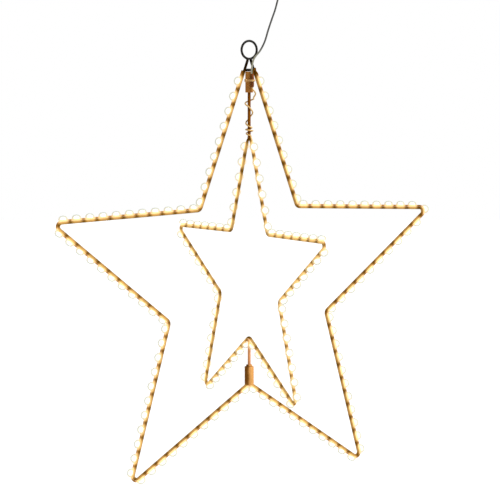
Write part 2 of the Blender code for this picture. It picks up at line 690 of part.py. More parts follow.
def make_inner_star(axis):
    lift = Vector((0.0, 0.0, INNER_STAR_LIFT))
    frame_points = [p + lift for p in INNER.bends(0, 2 * ARM_COUNT - 1, 0.0)]
    add_tube("inner_frame", frame_points, ROD_DIAMETER, "frame_paint", axis, closed=True)
    rod_foot = INNER_APEX_Z + CLEARANCE
    rod_length = TOP_SLEEVE_TOP_Z - TOP_ROD_END_DEPTH - rod_foot
    add_round_bar("top_rod", PIVOT_DIAMETER, rod_length, "frame_paint", axis, (0.0, 0.0, rod_foot))
    pin_foot = BOTTOM_ROD_Z + ROD_RADIUS + CLEARANCE
    pin_length = INNER_BOTTOM_Z - CLEARANCE - pin_foot
    add_round_bar("bottom_pin", PIVOT_DIAMETER, pin_length, "sleeve_copper", axis, (0.0, 0.0, pin_foot))
    outer, inner = COLLAR_DIAMETER / 2, BORE_DIAMETER / 2
    profile = ((inner, 0.0), (outer, 0.0), (outer, COLLAR_HEIGHT), (inner, COLLAR_HEIGHT))
    collar_place = (0.0, 0.0, BOTTOM_SLEEVE_TOP_Z + CLEARANCE)
    add_turned("bottom_collar", profile, "sleeve_copper", axis, collar_place)


def make_inner_string(centre):
    """The small star's light string, whose cable passes in front of the pin at the bottom notch."""
    start = INNER.leg_point(INNER_STRING_END_FROM_APEX, STRING_OFFSET, 1)
    end = INNER.leg_point(INNER_STRING_END_FROM_APEX, STRING_OFFSET, -1)
    room = PIVOT_DIAMETER / 2 + CLEARANCE
    stretches = string_stretches(INNER, [start], [end], room + STRING_DIAMETER / 2)
    make_light_string("inner_lights", INNER, stretches, centre, INNER_LIGHT_GAPS, room)


def hank_points():
    """The hank's centre line: flat loops that spiral in and out in layers, drawn in at the waist."""
    last_turn = HANK_LAYERS * HANK_LAYER_TURNS + HANK_RUN_STEPS / LOOP_STEPS
    run_turn = HANK_RUN_STEPS / LOOP_STEPS
    bend_turn = 1 / 2 - run_turn
    points = []
    for k in range(round(last_turn * LOOP_STEPS) + 1):
        turn = k / LOOP_STEPS
        half_width = hank_half_width(turn)
        phase = turn % 1
        side = 1 if phase < 1 / 2 else -1
        along = (phase % (1 / 2)) / run_turn
        if along <= 1:
            waist = HANK_WAIST_DEPTH * math.sin(math.pi * along) ** 2
            x = side * (half_width - waist)
            z = side * HANK_RUN_LENGTH * (along - 1 / 2)
        else:
            angle = math.pi * (phase % (1 / 2) - run_turn) / bend_turn
            x = side * half_width * math.cos(angle)
            z = side * (HANK_RUN_LENGTH / 2 + half_width * math.sin(angle))
        points.append(Vector((HANK_CENTRE_X + x, HANK_FRONT_Y + hank_layer_depth(turn), HANK_CENTRE_Z + z)))
    end_run = Vector((0.0, 0.0, CORD_DIAMETER))
    return [points[0] - end_run] + points + [points[-1] + end_run]


def hank_half_width(turn):
    """Steadily narrower, then wider, with each layer; it turns back half way along a climb."""
    middle = HANK_RUN_STEPS / LOOP_STEPS / 2
    turns, distances = [0.0], [HANK_LAYER_TURNS + middle]
    for layer in range(1, HANK_LAYERS):
        turns.append(layer * HANK_LAYER_TURNS + middle)
        distances.append(0.0 if layer % 2 else HANK_LAYER_TURNS)
    turns.append(HANK_LAYERS * HANK_LAYER_TURNS + 2 * middle)
    distances.append(HANK_LAYER_TURNS + middle)
    return HANK_INNER_HALF_WIDTH + HANK_STEP * float(np.interp(turn, turns, distances))


def hank_layer_depth(turn):
    """Each climb to the next layer takes the run where the spiral reverses."""
    layer = min(int(turn / HANK_LAYER_TURNS), HANK_LAYERS - 1)
    into_run = (turn - layer * HANK_LAYER_TURNS) / (HANK_RUN_STEPS / LOOP_STEPS)
    climbed = min(max(into_run, 0.0), 1.0) if layer else 1.0
    return HANK_LAYER_STEP * (max(layer - 1, 0) + (climbed if layer else 0.0))


def make_cord(hook):
    """The supply cord from the joint, the hank and its tie, and the last stretch to the adapter."""
    hank = hank_points()
    rise = Vector((0.0, 0.0, CORD_DIAMETER))
    gap = Vector((0.0, 0.0, CLEARANCE))
    start = Vector((CORD_IN_JOINT_X, JOINT_Y, JOINT_TOP_Z - RING_Z)) + gap
    route = [start, start + rise] + [Vector(p) for p in SUPPLY_ROUTE] + [hank[0] - gap - rise, hank[0] - gap]
    spacing = CORD_DIAMETER * CORD_POINT_SPACING_DIAMETERS
    supply = smooth_route(route, spacing)
    add_tube("supply_cord", supply, CORD_DIAMETER, "cord", hook)
    least_gap("cord_hank", hank, CORD_DIAMETER, LOOP_STEPS)
    add_tube("cord_hank", hank, CORD_DIAMETER, "cord", hook, fineness=FORM_BEVEL_RESOLUTION)
    circles = [(point.x - HANK_CENTRE_X, point.y - HANK_FRONT_Y, CORD_DIAMETER / 2)
               for point in hank if abs(point.z - HANK_CENTRE_Z) < HANK_TIE_HEIGHT]
    back = HANK_LAYER_STEP * (HANK_LAYERS - 1)
    tie_place = (HANK_CENTRE_X, HANK_FRONT_Y, HANK_CENTRE_Z - HANK_TIE_HEIGHT / 2)
    add_band("hank_tie", circles, HANK_TIE_THICKNESS, HANK_TIE_HEIGHT, "ring_paint", hook, tie_place)
    relief_tip = Vector((ADAPTER_X, HANK_FRONT_Y + back, ADAPTER_TOP_Z + CLEARANCE + RELIEF_LENGTH))
    route = [hank[-1] + gap, hank[-1] + gap + rise] + [Vector(p) for p in PLUG_ROUTE]
    route += [relief_tip + gap + rise, relief_tip + gap]
    plug_lead = smooth_route(route, spacing)
    add_tube("plug_lead", plug_lead, CORD_DIAMETER, "cord", hook)
    total = path_length(supply) + path_length(hank) + path_length(plug_lead)
    print("cord length", round(total, 4), "m")
    make_adapter(hook, relief_tip)


def make_adapter(hook, relief_tip):
    """The plug-in power supply: two shells, its board and its pins, which point to the back."""
    top = add_empty("adapter_top", (relief_tip.x, relief_tip.y, ADAPTER_TOP_Z), hook)
    foot, tip = RELIEF_FOOT_DIAMETER / 2, RELIEF_TIP_DIAMETER / 2
    relief = bmesh.new()
    bmesh.ops.create_cone(relief, cap_ends=True, segments=ROUND_SIDES, radius1=foot, radius2=tip, depth=RELIEF_LENGTH)
    relief_place = (0.0, 0.0, CLEARANCE + RELIEF_LENGTH / 2)
    finish_mesh("cord_relief", relief, "adapter", top, relief_place)
    half_width, half_depth = ADAPTER_WIDTH / 2, ADAPTER_DEPTH / 2
    split_y = half_depth - ADAPTER_BASE_THICKNESS
    case_mesh = box_mesh((-half_width, -half_depth, -ADAPTER_HEIGHT), (half_width, split_y, 0.0), ADAPTER_CORNER)
    case = finish_mesh("adapter_case", case_mesh, "adapter", top)
    hollow_low = (ADAPTER_WALL - half_width, ADAPTER_WALL - half_depth, ADAPTER_WALL - ADAPTER_HEIGHT)
    hollow_mesh = box_mesh(hollow_low, (half_width - ADAPTER_WALL, split_y + CUT_OVERRUN, -ADAPTER_WALL))
    combine(case, finish_mesh("case_hollow", hollow_mesh, "adapter", top))
    base_low = (-half_width, split_y + CLEARANCE, -ADAPTER_HEIGHT)
    base = finish_mesh("adapter_base", box_mesh(base_low, (half_width, half_depth, 0.0)), "adapter", top)
    inner_end = split_y - PIN_INNER_LENGTH
    pin_length = half_depth + PIN_LENGTH - inner_end
    backwards = (-math.pi / 2, 0.0, 0.0)
    for name, x in (("left", -PIN_SPACING / 2), ("right", PIN_SPACING / 2)):
        place = (x, inner_end, -PIN_DROP)
        add_round_bar(f"plug_pin_{name}", PIN_DIAMETER, pin_length, "pin_metal", top, place, backwards)
        hole_diameter = PIN_DIAMETER + 2 * CLEARANCE
        combine(base, add_round_bar(f"pin_hole_{name}", hole_diameter, pin_length, "adapter", top, place, backwards))
    make_board(top, inner_end - CLEARANCE)


def make_board(top, back):
    front = back - BOARD_THICKNESS
    half_width = ADAPTER_WIDTH / 2 - ADAPTER_WALL - CLEARANCE
    low_z = ADAPTER_WALL + CLEARANCE - ADAPTER_HEIGHT
    board_mesh = box_mesh((-half_width, front, low_z), (half_width, back, -ADAPTER_WALL - CLEARANCE))
    finish_mesh("adapter_board", board_mesh, "board", top)
    middle_z = -ADAPTER_HEIGHT / 2
    block_back = front - CLEARANCE
    block_low = (-TRANSFORMER_WIDTH / 2, block_back - TRANSFORMER_DEPTH, middle_z - TRANSFORMER_HEIGHT / 2)
    block_high = (TRANSFORMER_WIDTH / 2, block_back, middle_z + TRANSFORMER_HEIGHT / 2)
    finish_mesh("adapter_transformer", box_mesh(block_low, block_high), "board", top)


def main():
    clear_scene()
    hook = add_empty("ring_centre", (0.0, 0.0, 0.0))
    centre = add_empty("outer_star_centre", (0.0, 0.0, -RING_Z), hook)
    make_outer_frame(centre)
    make_ring(centre)
    make_crossbar(centre)
    make_top_sleeve(centre)
    make_bottom_sleeve(centre)
    make_outer_string(centre)
    make_joint(centre)
    make_inner_lead(centre)
    make_cord(hook)
    axis = add_empty("inner_star_axis", (0.0, 0.0, -RING_Z), hook, INNER_STAR_TURN)
    make_inner_star(axis)
    make_winding(axis)
    inner_centre = add_empty("inner_star_centre", (0.0, 0.0, INNER_STAR_LIFT), axis)
    make_inner_string(inner_centre)


main()
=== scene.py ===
import math

import bmesh
import bpy
import numpy as np
from mathutils import Matrix, Vector, kdtree, noise


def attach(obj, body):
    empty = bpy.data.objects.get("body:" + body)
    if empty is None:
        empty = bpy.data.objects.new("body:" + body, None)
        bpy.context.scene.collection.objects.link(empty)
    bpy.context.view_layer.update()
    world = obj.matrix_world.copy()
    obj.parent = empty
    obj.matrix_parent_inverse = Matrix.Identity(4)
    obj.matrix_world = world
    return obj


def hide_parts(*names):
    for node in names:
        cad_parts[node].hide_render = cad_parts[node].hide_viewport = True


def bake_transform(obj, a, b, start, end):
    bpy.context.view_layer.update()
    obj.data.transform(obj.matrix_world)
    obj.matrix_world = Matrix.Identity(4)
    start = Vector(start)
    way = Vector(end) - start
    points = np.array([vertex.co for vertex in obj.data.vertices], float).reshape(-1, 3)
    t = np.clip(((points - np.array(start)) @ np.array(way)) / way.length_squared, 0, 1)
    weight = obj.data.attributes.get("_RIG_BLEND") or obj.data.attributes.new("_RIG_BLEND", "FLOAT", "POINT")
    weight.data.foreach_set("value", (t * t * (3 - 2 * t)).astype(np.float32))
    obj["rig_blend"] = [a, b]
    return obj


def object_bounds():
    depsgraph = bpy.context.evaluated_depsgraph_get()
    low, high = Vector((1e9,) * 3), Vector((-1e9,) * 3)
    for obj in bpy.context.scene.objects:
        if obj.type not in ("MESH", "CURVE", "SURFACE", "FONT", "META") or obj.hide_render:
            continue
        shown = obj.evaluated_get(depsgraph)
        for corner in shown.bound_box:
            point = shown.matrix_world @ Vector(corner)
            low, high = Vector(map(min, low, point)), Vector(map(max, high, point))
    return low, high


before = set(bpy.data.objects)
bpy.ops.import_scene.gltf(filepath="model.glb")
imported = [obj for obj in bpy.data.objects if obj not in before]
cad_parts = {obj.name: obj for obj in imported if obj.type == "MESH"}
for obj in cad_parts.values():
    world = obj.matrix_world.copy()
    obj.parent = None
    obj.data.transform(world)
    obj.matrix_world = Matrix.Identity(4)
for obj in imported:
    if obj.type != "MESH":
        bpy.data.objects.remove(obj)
cad_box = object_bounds()

# Sizes and counts of the frame's source, in metres
ARM_COUNT = 5
OUTER_TIP_RADIUS = 0.300
OUTER_NOTCH_RADIUS = 0.1254
INNER_TIP_RADIUS = 0.192
INNER_NOTCH_RADIUS = 0.0745
INNER_STAR_LIFT = 0.0096
INNER_STAR_TURN = -math.pi / 2
ROD_DIAMETER = 0.0035
TIP_BEND_RADIUS = 0.0045
NOTCH_BEND_RADIUS = 0.007
CLEARANCE = 0.0003
RING_Z = 0.3068286
RING_DIAMETER = 0.026
RING_WIRE_DIAMETER = 0.003
ROD_END_GAP = 0.0015
CROSSBAR_DROP = 0.019
TOP_SLEEVE_DIAMETER = 0.010
TOP_SLEEVE_LENGTH = 0.027
BOTTOM_SLEEVE_DIAMETER = 0.012
BOTTOM_SLEEVE_LENGTH = 0.0245
PIVOT_DIAMETER = 0.004
BORE_DIAMETER = 0.00469
TOP_ROD_END_DEPTH = 0.002
COLLAR_DIAMETER = 0.008
COLLAR_HEIGHT = 0.002
STRING_DIAMETER = 0.0018
LIGHT_DIAMETER = 0.0122
LIGHT_HEIGHT = 0.0061
LIGHT_PITCH = 0.0195
LIGHT_SINK = 0.0006
LENS_PROFILE_SHARES = ((1.0, 0.0), (0.80, 0.66))
LIGHT_PAIR_GAP = 0.014
BESIDE_TIP_LIGHT_GAP = 0.025
OUTER_APEX_LIGHT_GAP = 0.037
INNER_APEX_LIGHT_GAP = 0.022
STRING_END_FROM_APEX = 0.022
INNER_STRING_END_FROM_APEX = 0.0155
LEG_WRAP_LENGTH = 0.0075
PIN_DETOUR_LENGTH = 0.012
CORD_DIAMETER = 0.0023
JOINT_DIAMETER = 0.0048
JOINT_LENGTH = 0.017
JOINT_DROP = 0.003
JOINT_TIE_THICKNESS = 0.0009
JOINT_TIE_HEIGHT = 0.0026
WINDING_TOP_GAP = 0.0065
WINDING_TOP_RADIUS = 0.0058
WINDING_TOP_ANGLE = -math.pi / 4
WINDING_TURNS = 3.875
WINDING_BULGE = 0.0014
WINDING_BULGES = 4
WINDING_FOOT_GAP = 0.0030
WINDING_HEIGHT_SHARES = (0.0, 0.22, 0.68, 0.82, 0.88, 1.0)
WINDING_LEAD_IN_STEPS = 4
HANK_CENTRE_X = 0.0320
HANK_CENTRE_Z = 0.1115
HANK_FRONT_Y = -0.0070
HANK_RUN_LENGTH = 0.0414
HANK_INNER_HALF_WIDTH = 0.0070
HANK_WAIST_DEPTH = 0.0028
HANK_STEP = 0.0029
HANK_LAYER_STEP = 0.0028
HANK_LAYERS = 4
HANK_LAYER_TURNS = 2.5
HANK_TIE_THICKNESS = 0.0011
HANK_TIE_HEIGHT = 0.007
ADAPTER_X = 0.0690
ADAPTER_TOP_Z = 0.1440
ADAPTER_WIDTH = 0.032
ADAPTER_DEPTH = 0.024
ADAPTER_HEIGHT = 0.052
ADAPTER_CORNER = 0.003
ADAPTER_BASE_THICKNESS = 0.003
PIN_DIAMETER = 0.004
PIN_LENGTH = 0.019
PIN_SPACING = 0.0186
PIN_DROP = 0.030
RELIEF_LENGTH = 0.014
RELIEF_FOOT_DIAMETER = 0.0064
RELIEF_TIP_DIAMETER = 0.0040
LOOP_STEPS = 24
HANK_RUN_STEPS = 5
ROUTE_SAMPLES = 40

# Routes of the source's cords, on the frame's own axes
SUPPLY_ROUTE = (
    (-0.0011, -0.0076, -0.0265), (0.0003, -0.0072, -0.0190), (0.0026, -0.0066, -0.0125),
    (0.0064, -0.0063, -0.0075), (0.0112, -0.0062, -0.0030), (0.0159, -0.0062, 0.0035),
    (0.0203, -0.0064, 0.0120), (0.0243, -0.0066, 0.0238), (0.0275, -0.0068, 0.0325),
    (0.0315, -0.0069, 0.0425), (0.0350, -0.0070, 0.0510), (0.0385, -0.0070, 0.0620),
    (0.0420, -0.0070, 0.0740))
PLUG_ROUTE = ((0.0468, 0.0014, 0.1480), (0.0495, 0.0014, 0.1600), (0.0575, 0.0014, 0.1690), (0.0655, 0.0014, 0.1670))
LEAD_ROUTE = ((0.0010, -0.0081, -0.0515), (0.0032, -0.0085, -0.0540), (0.0050, -0.0075, -0.0568))

# Sizes that only the finished pieces have
STRING_FINISHED_DIAMETER = 0.0023
SLEEVE_EDGE = 0.0005
COLLAR_EDGE = 0.0003
WELD_OVERLAP = 0.0002
BASE_CORNER = 0.0011
GRIP_RIBS = 7
GRIP_PITCH = 0.0030
GRIP_DEPTH = 0.0004
GRIP_HALF_HEIGHT = 0.0006
GRIP_FRONT_Y = -0.0065
GRIP_BACK_Y = 0.0045
GRIP_CORNER = 0.0003
HANK_TIE_RIBS = 4
RELIEF_RIBS = 6
PIN_SLEEVE_LIP = 0.0002
TIE_LOCK_LOW = (-0.0068, -0.0028)
TIE_LOCK_HIGH = (-0.0046, 0.0008)
TIE_LOCK_HALF_HEIGHT = 0.0020
TIE_LOCK_CORNER = 0.0004

# Weld beads: the radius of each and its squeeze along X, Y and Z, where it sits at a rod's end, and its lumps
RING_BEAD = (0.00195, (1.0, 0.95, 0.72))
CROSSBAR_BEAD = (0.0020, (0.55, 1.0, 1.0))
PIVOT_BEAD = (0.0026, (0.95, 0.95, 0.5))
RING_BEAD_REACH = 1.02
RING_BEAD_LIFT = 0.0010
CROSSBAR_BEAD_REACH = 0.93
WELD_LUMP = 0.10
WELD_LUMP_SCALE = 2.3
WELD_LUMP_SPREAD = 900

# Profiles as shares of a radius or thickness and of a height: the lens's clear cap, the bright lamp in it, the
# strain relief's tip, and a strap's section
CAP_PROFILE_SHARES = ((1.0, 0.0), (1.0, 0.15), (0.90, 0.54), (0.62, 0.86))
LAMP_PROFILE_SHARES = ((0.62, 0.10), (0.59, 0.42), (0.38, 0.64))
LAMP_CROWN_SHARE = 0.72
RELIEF_TIP = ((1.0, 0.985), (0.9, 1.0))
BAND_SECTION = ((0.0, 0.12), (0.0, 0.88), (0.25, 1.0), (0.75, 1.0), (1.0, 0.88), (1.0, 0.12), (0.75, 0.0), (0.25, 0.0))

# One rib of the strain relief: how far along it, and the share of the radius that its groove takes off there
RELIEF_RIB = ((0.04, 0.0), (0.55, 0.0), (0.66, 0.14), (0.90, 0.14))

# Shares of a mains pin's radius: its sleeve's lip, its bright root, and its end, with the way back from the tip
PIN_LIP = (0.96, 0.86)
PIN_ROOT = 0.95
PIN_END = ((0.95, 0.8), (0.86, 0.42), (0.60, 0.13), (0.28, 0.0))

# The shrink tube's radius at its ends and how much more it has in the middle, and its wrinkles
SHRINK_RADII = (0.80, 0.15)
WRINKLE_WAVE = 0.035
WRINKLE_TWIST = 900
WRINKLE_LUMP = 0.02
WRINKLE_LUMP_SCALE = (2, 700)

# Fineness of the finished pieces
ROD_SPACING = 0.0012
CABLE_SPACING = 0.0015
SUPPLY_SPACING = CORD_DIAMETER * 1.6
PLUG_LEAD_SPACING = CORD_DIAMETER * 1.2
ROD_SIDES = 14
RING_SIDES = 18
PIVOT_SIDES = 20
LEAD_SIDES = 10
CABLE_SIDES = 8
LENS_SIDES = 12
LAMP_SIDES = 10
TURNED_SIDES = 48
RELIEF_SIDES = 24
JOINT_SIDES = 28
PIN_SIDES = 32
RING_STEPS = 72
BAND_STEPS = 72
JOINT_STEPS = 14
BEND_STEPS = 16
WRAP_STEPS = 8
SHARP_ANGLE = math.radians(50)

# Points along a lens that the distance to the lights is measured from
LENS_POINTS = [LIGHT_DIAMETER / 8 * step for step in (-2, -1, 0, 1, 2)]

# Each lens leans by up to this angle, with a seed for each stretch of string
LENS_TILT = 0.07
LENS_SEED = 11

STRETCH_NAMES = ("top_right", "right", "lower_right", "lower_left", "left", "top_left")
OUTER_LIGHT_GAPS = (OUTER_APEX_LIGHT_GAP, BESIDE_TIP_LIGHT_GAP) + (LIGHT_PAIR_GAP,) * 3 + (OUTER_APEX_LIGHT_GAP,)
INNER_LIGHT_GAPS = (INNER_APEX_LIGHT_GAP,) + (LIGHT_PAIR_GAP,) * 4 + (INNER_APEX_LIGHT_GAP,)

# The fitted camera, with angles in degrees from the large star's front and from level
CAMERA_LENS_MM = 170.8
CAMERA_SENSOR_MM = 36.0
CAMERA_AZIMUTH = -32.10
CAMERA_ELEVATION = 4.75
CAMERA_DISTANCE = 3.0793
CAMERA_AIM = (0.0009, -0.0006, -0.2589)

# Studio: each lamp's name, azimuth, elevation, strength and softness in degrees
STUDIO_LAMPS = (("key", 25.0, 35.0, 3.9, 20.0), ("fill", -90.0, 20.0, 0.2, 60.0))
WORLD_STRENGTH = 0.22
FLOOR_DROP = 0.30
FLOOR_RADIUS = 9.0

# How far and how strongly a lens lights its rod and cable: the photograph shows the small star lit more
# Painted lens light: these set the glow painted on rods and cables as an emission
LAMP_ON_ROD = {"large": (0.0045, (0.66, 0.46, 0.18), 0.0070, (0.36, 0.150, 0.011)),
               "small": (0.0052, (0.72, 0.53, 0.23), 0.0080, (0.40, 0.180, 0.015))}
LAMP_ON_CABLE = {"large": (0.0045, (1.20, 0.90, 0.50), 0.0076, (0.40, 0.170, 0.014)),
                 "small": (0.0047, (1.20, 0.90, 0.50), 0.0092, (0.46, 0.210, 0.020))}

# Painted shade: a rod's base colour darkens between these distances from its nearest lens, down to this share
UNLIT_DISTANCES = (0.010, 0.015)
UNLIT_SHARE = 0.25

# Painted lamp light: the cord glows in the lights' colour between these two heights
CORD_LIT_HEIGHTS = (0.004, -0.012)
CORD_LIT_COLOUR = (0.21, 0.20, 0.13)

# Colours by height on a lens, from its foot to its crown: the cap's own, its glow and how thick it looks
CAP_COLOURS = ((0.0, (0.40, 0.24, 0.08)), (0.30, (0.30, 0.24, 0.12)), (1.0, (0.19, 0.21, 0.17)))
CAP_GLOWS = ((0.0, (0.60, 0.46, 0.22)), (0.30, (0.48, 0.42, 0.26)), (1.0, (0.33, 0.38, 0.35)))
CAP_THICKNESSES = ((0.0, (0.34, 0.34, 0.34)), (0.20, (0.40, 0.40, 0.40)), (0.55, (0.44, 0.44, 0.44)))
LAMP_GLOWS = ((0.10, (1.0, 0.92, 0.72)), (0.28, (1.0, 0.97, 0.84)), (0.50, (1.0, 1.0, 0.90)), (1.0, (0.97, 1.0, 0.92)))

# Which side of a sleeve has the painted shade
SHADED_SIDE = (-0.98, 0.17, 0.0)


# ---- Paths ----

BACKWARDS = Vector((0.0, 1.0, 0.0))


def up(height):
    return Vector((0.0, 0.0, height))


def polar(radius, angle):
    """A point in a star's plane."""
    return Vector((radius * math.cos(angle), 0.0, radius * math.sin(angle)))


def around(radius, angle, height):
    """A point round the upright axis."""
    return Vector((radius * math.cos(angle), radius * math.sin(angle), height))


class Star:
    """One star of bent rod: its plane, its bends and where its lights sit."""

    def __init__(self, tip_radius, notch_radius, lift, turn, light_gaps, bottom_room):
        self.tip_radius, self.notch_radius = tip_radius, notch_radius
        self.light_gaps, self.bottom_room = light_gaps, bottom_room
        half_step = math.pi / ARM_COUNT
        run = notch_radius * math.sin(half_step)
        rise = tip_radius - notch_radius * math.cos(half_step)
        self.edge_length = math.hypot(run, rise)
        self.tip_half_angle = math.atan2(run, rise)
        self.notch_half_angle = self.tip_half_angle + half_step
        self.tip_bend_centre = tip_radius - TIP_BEND_RADIUS / math.sin(self.tip_half_angle)
        self.notch_bend_centre = notch_radius + NOTCH_BEND_RADIUS / math.sin(self.notch_half_angle)
        self.place = Matrix.Translation((0, 0, lift - RING_Z)) @ Matrix.Rotation(turn, 4, "Z")

    def corner_angle(self, corner):
        return math.pi / 2 - corner * math.pi / ARM_COUNT

    def bend(self, corner, offset):
        """The line round one corner, clockwise: even corners are tips and odd ones notches."""
        middle = self.corner_angle(corner)
        if corner % 2:
            reach, radius = self.notch_bend_centre, offset - NOTCH_BEND_RADIUS
            sweep = self.notch_half_angle - math.pi / 2
        else:
            reach, radius = self.tip_bend_centre, offset + TIP_BEND_RADIUS
            sweep = math.pi / 2 - self.tip_half_angle
        angles = np.linspace(middle + sweep, middle - sweep, BEND_STEPS + 1)
        return [polar(reach, middle) + polar(radius, angle) for angle in angles]

    def bends(self, first, last):
        return [point for corner in range(first, last + 1) for point in self.bend(corner, 0.0)]

    def leg_point(self, from_apex, offset, side):
        a = self.tip_half_angle
        x = from_apex * math.sin(a) + offset * math.cos(a)
        return Vector((side * x, 0.0, self.tip_radius - from_apex * math.cos(a) + offset * math.sin(a)))

    def put(self, points):
        return [self.place @ point for point in points]

    def light_distances(self, room, end_gap):
        """Distances of an edge's lights from the notch's sharp corner."""
        slope = math.tan(self.notch_half_angle)
        first = room / math.sin(self.notch_half_angle) + LIGHT_OFFSET / slope + max(
            radius * LIGHT_DIAMETER / 2 + height * LIGHT_HEIGHT / slope for radius, height in LENS_PROFILE_SHARES)
        last = self.edge_length - end_gap
        return np.linspace(first, last, round((last - first) / LIGHT_PITCH) + 1)

    def arm_lights(self, stretch):
        """Seat, outward and lengthwise direction of each light on one stretch of the string."""
        arm, sides = (stretch, (1, -1)) if 0 < stretch < ARM_COUNT else (0, (1,) if stretch == 0 else (-1,))
        end_gap = self.light_gaps[stretch]
        corner = 2 * arm
        middle = self.corner_angle(corner)
        tip = polar(self.tip_radius, middle)
        lights = []
        for side in sides:
            notch = polar(self.notch_radius, self.corner_angle(corner + side))
            along = (tip - notch).normalized()
            outward = BACKWARDS.cross(along) * side
            room = self.bottom_room if corner + side == ARM_COUNT else CLEARANCE
            for distance in self.light_distances(room, end_gap):
                lights.append((notch + along * distance + outward * LIGHT_OFFSET, outward, along))
        if end_gap == BESIDE_TIP_LIGHT_GAP:
            outward = polar(1.0, middle)
            reach = self.tip_bend_centre + TIP_BEND_RADIUS + LIGHT_OFFSET
            lights.append((outward * reach, outward, outward.cross(BACKWARDS)))
        spin = self.place.to_3x3()
        return [(self.place @ seat, spin @ outward, spin @ along) for seat, outward, along in lights]


ROD_RADIUS = ROD_DIAMETER / 2
STRING_OFFSET = ROD_RADIUS + CLEARANCE + STRING_DIAMETER / 2
LIGHT_OFFSET = ROD_RADIUS + CLEARANCE + STRING_DIAMETER - LIGHT_SINK
PIN_ROOM = PIVOT_DIAMETER / 2 + CLEARANCE
OUTER = Star(OUTER_TIP_RADIUS, OUTER_NOTCH_RADIUS, 0.0, 0.0, OUTER_LIGHT_GAPS, CLEARANCE)
INNER = Star(INNER_TIP_RADIUS, INNER_NOTCH_RADIUS, INNER_STAR_LIFT, INNER_STAR_TURN, INNER_LIGHT_GAPS, PIN_ROOM)

ROD_END_X = ROD_END_GAP / 2 + ROD_RADIUS * math.cos(OUTER.tip_half_angle)
ROD_END_FROM_APEX = ROD_END_X / math.sin(OUTER.tip_half_angle)
CROSSBAR_Z = OUTER_TIP_RADIUS - CROSSBAR_DROP - RING_Z
TOP_SLEEVE_TOP_Z = CROSSBAR_Z - ROD_RADIUS - CLEARANCE
TOP_SLEEVE_FOOT_Z = TOP_SLEEVE_TOP_Z - TOP_SLEEVE_LENGTH
BOTTOM_ROD_Z = -(OUTER.notch_bend_centre - NOTCH_BEND_RADIUS) - RING_Z
BOTTOM_SLEEVE_FOOT_Z = BOTTOM_ROD_Z - ROD_RADIUS
BOTTOM_SLEEVE_TOP_Z = BOTTOM_SLEEVE_FOOT_Z + BOTTOM_SLEEVE_LENGTH
INNER_APEX_Z = INNER_STAR_LIFT + INNER.tip_bend_centre + TIP_BEND_RADIUS + ROD_RADIUS - RING_Z
INNER_BOTTOM_Z = INNER_STAR_LIFT - (INNER.notch_bend_centre - NOTCH_BEND_RADIUS) - ROD_RADIUS - RING_Z
JOINT_Y = -(TOP_SLEEVE_DIAMETER / 2 + CLEARANCE + JOINT_DIAMETER / 2)
JOINT_TOP_Z = TOP_SLEEVE_TOP_Z - JOINT_DROP
JOINT_FOOT_Z = JOINT_TOP_Z - JOINT_LENGTH
CORD_IN_JOINT_X = -(JOINT_DIAMETER / 2 - CORD_DIAMETER / 2) + CLEARANCE / 2
STRING_IN_JOINT_X = JOINT_DIAMETER / 2 - STRING_DIAMETER / 2 - CLEARANCE / 2
WINDING_TOP_Z = TOP_SLEEVE_FOOT_Z - WINDING_TOP_GAP
HANK_RUN_TURN = HANK_RUN_STEPS / LOOP_STEPS
ADAPTER_SPLIT = ADAPTER_DEPTH / 2 - ADAPTER_BASE_THICKNESS
RELIEF_Y = HANK_FRONT_Y + HANK_LAYER_STEP * (HANK_LAYERS - 1)


def ease(a, b, c, d, t):
    """Catmull-Rom between b and c."""
    return (2 * b + (c - a) * t + (2 * a - 5 * b + 4 * c - d) * t ** 2 + (3 * b - a - 3 * c + d) * t ** 3) / 2


def evenly(points, spacing):
    """The same line with its points at an even spacing."""
    lengths = [0.0]
    for a, b in zip(points, points[1:]):
        lengths.append(lengths[-1] + (b - a).length)
    stops = np.linspace(0.0, lengths[-1], max(2, round(lengths[-1] / spacing)) + 1)
    return [Vector(p) for p in zip(*(np.interp(stops, lengths, [p[axis] for p in points]) for axis in range(3)))]


def smooth_route(route, spacing):
    """Points at an even spacing along one smooth curve through the route's points."""
    knots = [Vector(p) for p in route]
    knots = [knots[0] * 2 - knots[1]] + knots + [knots[-1] * 2 - knots[-2]]
    fine = [ease(a, b, c, d, k / ROUTE_SAMPLES)
            for a, b, c, d in zip(knots, knots[1:], knots[2:], knots[3:]) for k in range(ROUTE_SAMPLES)]
    return evenly(fine + [knots[-2]], spacing)


# ---- Making and finishing a piece ----

def once(maker):
    """Make a tree or finish only once for the same words and values, and give the same one each time."""
    made = {}

    def give(*words, **values):
        key = (words, tuple(sorted(values.items())))
        if key not in made:
            made[key] = maker(*words, **values)
        return made[key]
    return give


def place_object(name, data):
    obj = bpy.data.objects.new(name, data)
    bpy.context.scene.collection.objects.link(obj)
    return obj


def mesh_data(name, mesh):
    data = bpy.data.meshes.new(name)
    mesh.to_mesh(data)
    mesh.free()
    return data


@once
def lens_places():
    """Points along the middle of each lens of both stars."""
    points = [seat + along * aside
              for star in (OUTER, INNER) for stretch in range(len(STRETCH_NAMES))
              for seat, _, along in star.arm_lights(stretch) for aside in LENS_POINTS]
    places = kdtree.KDTree(len(points))
    for k, point in enumerate(points):
        places.insert(point, k)
    places.balance()
    return places


def mark_lamp_distance(data):
    """How far each point is from the nearest light, which the painted light and shade on rods and cables follow."""
    attribute = data.attributes.new("lamp_distance", "FLOAT", "POINT")
    attribute.data.foreach_set("value", [lens_places().find(vertex.co)[2] for vertex in data.vertices])


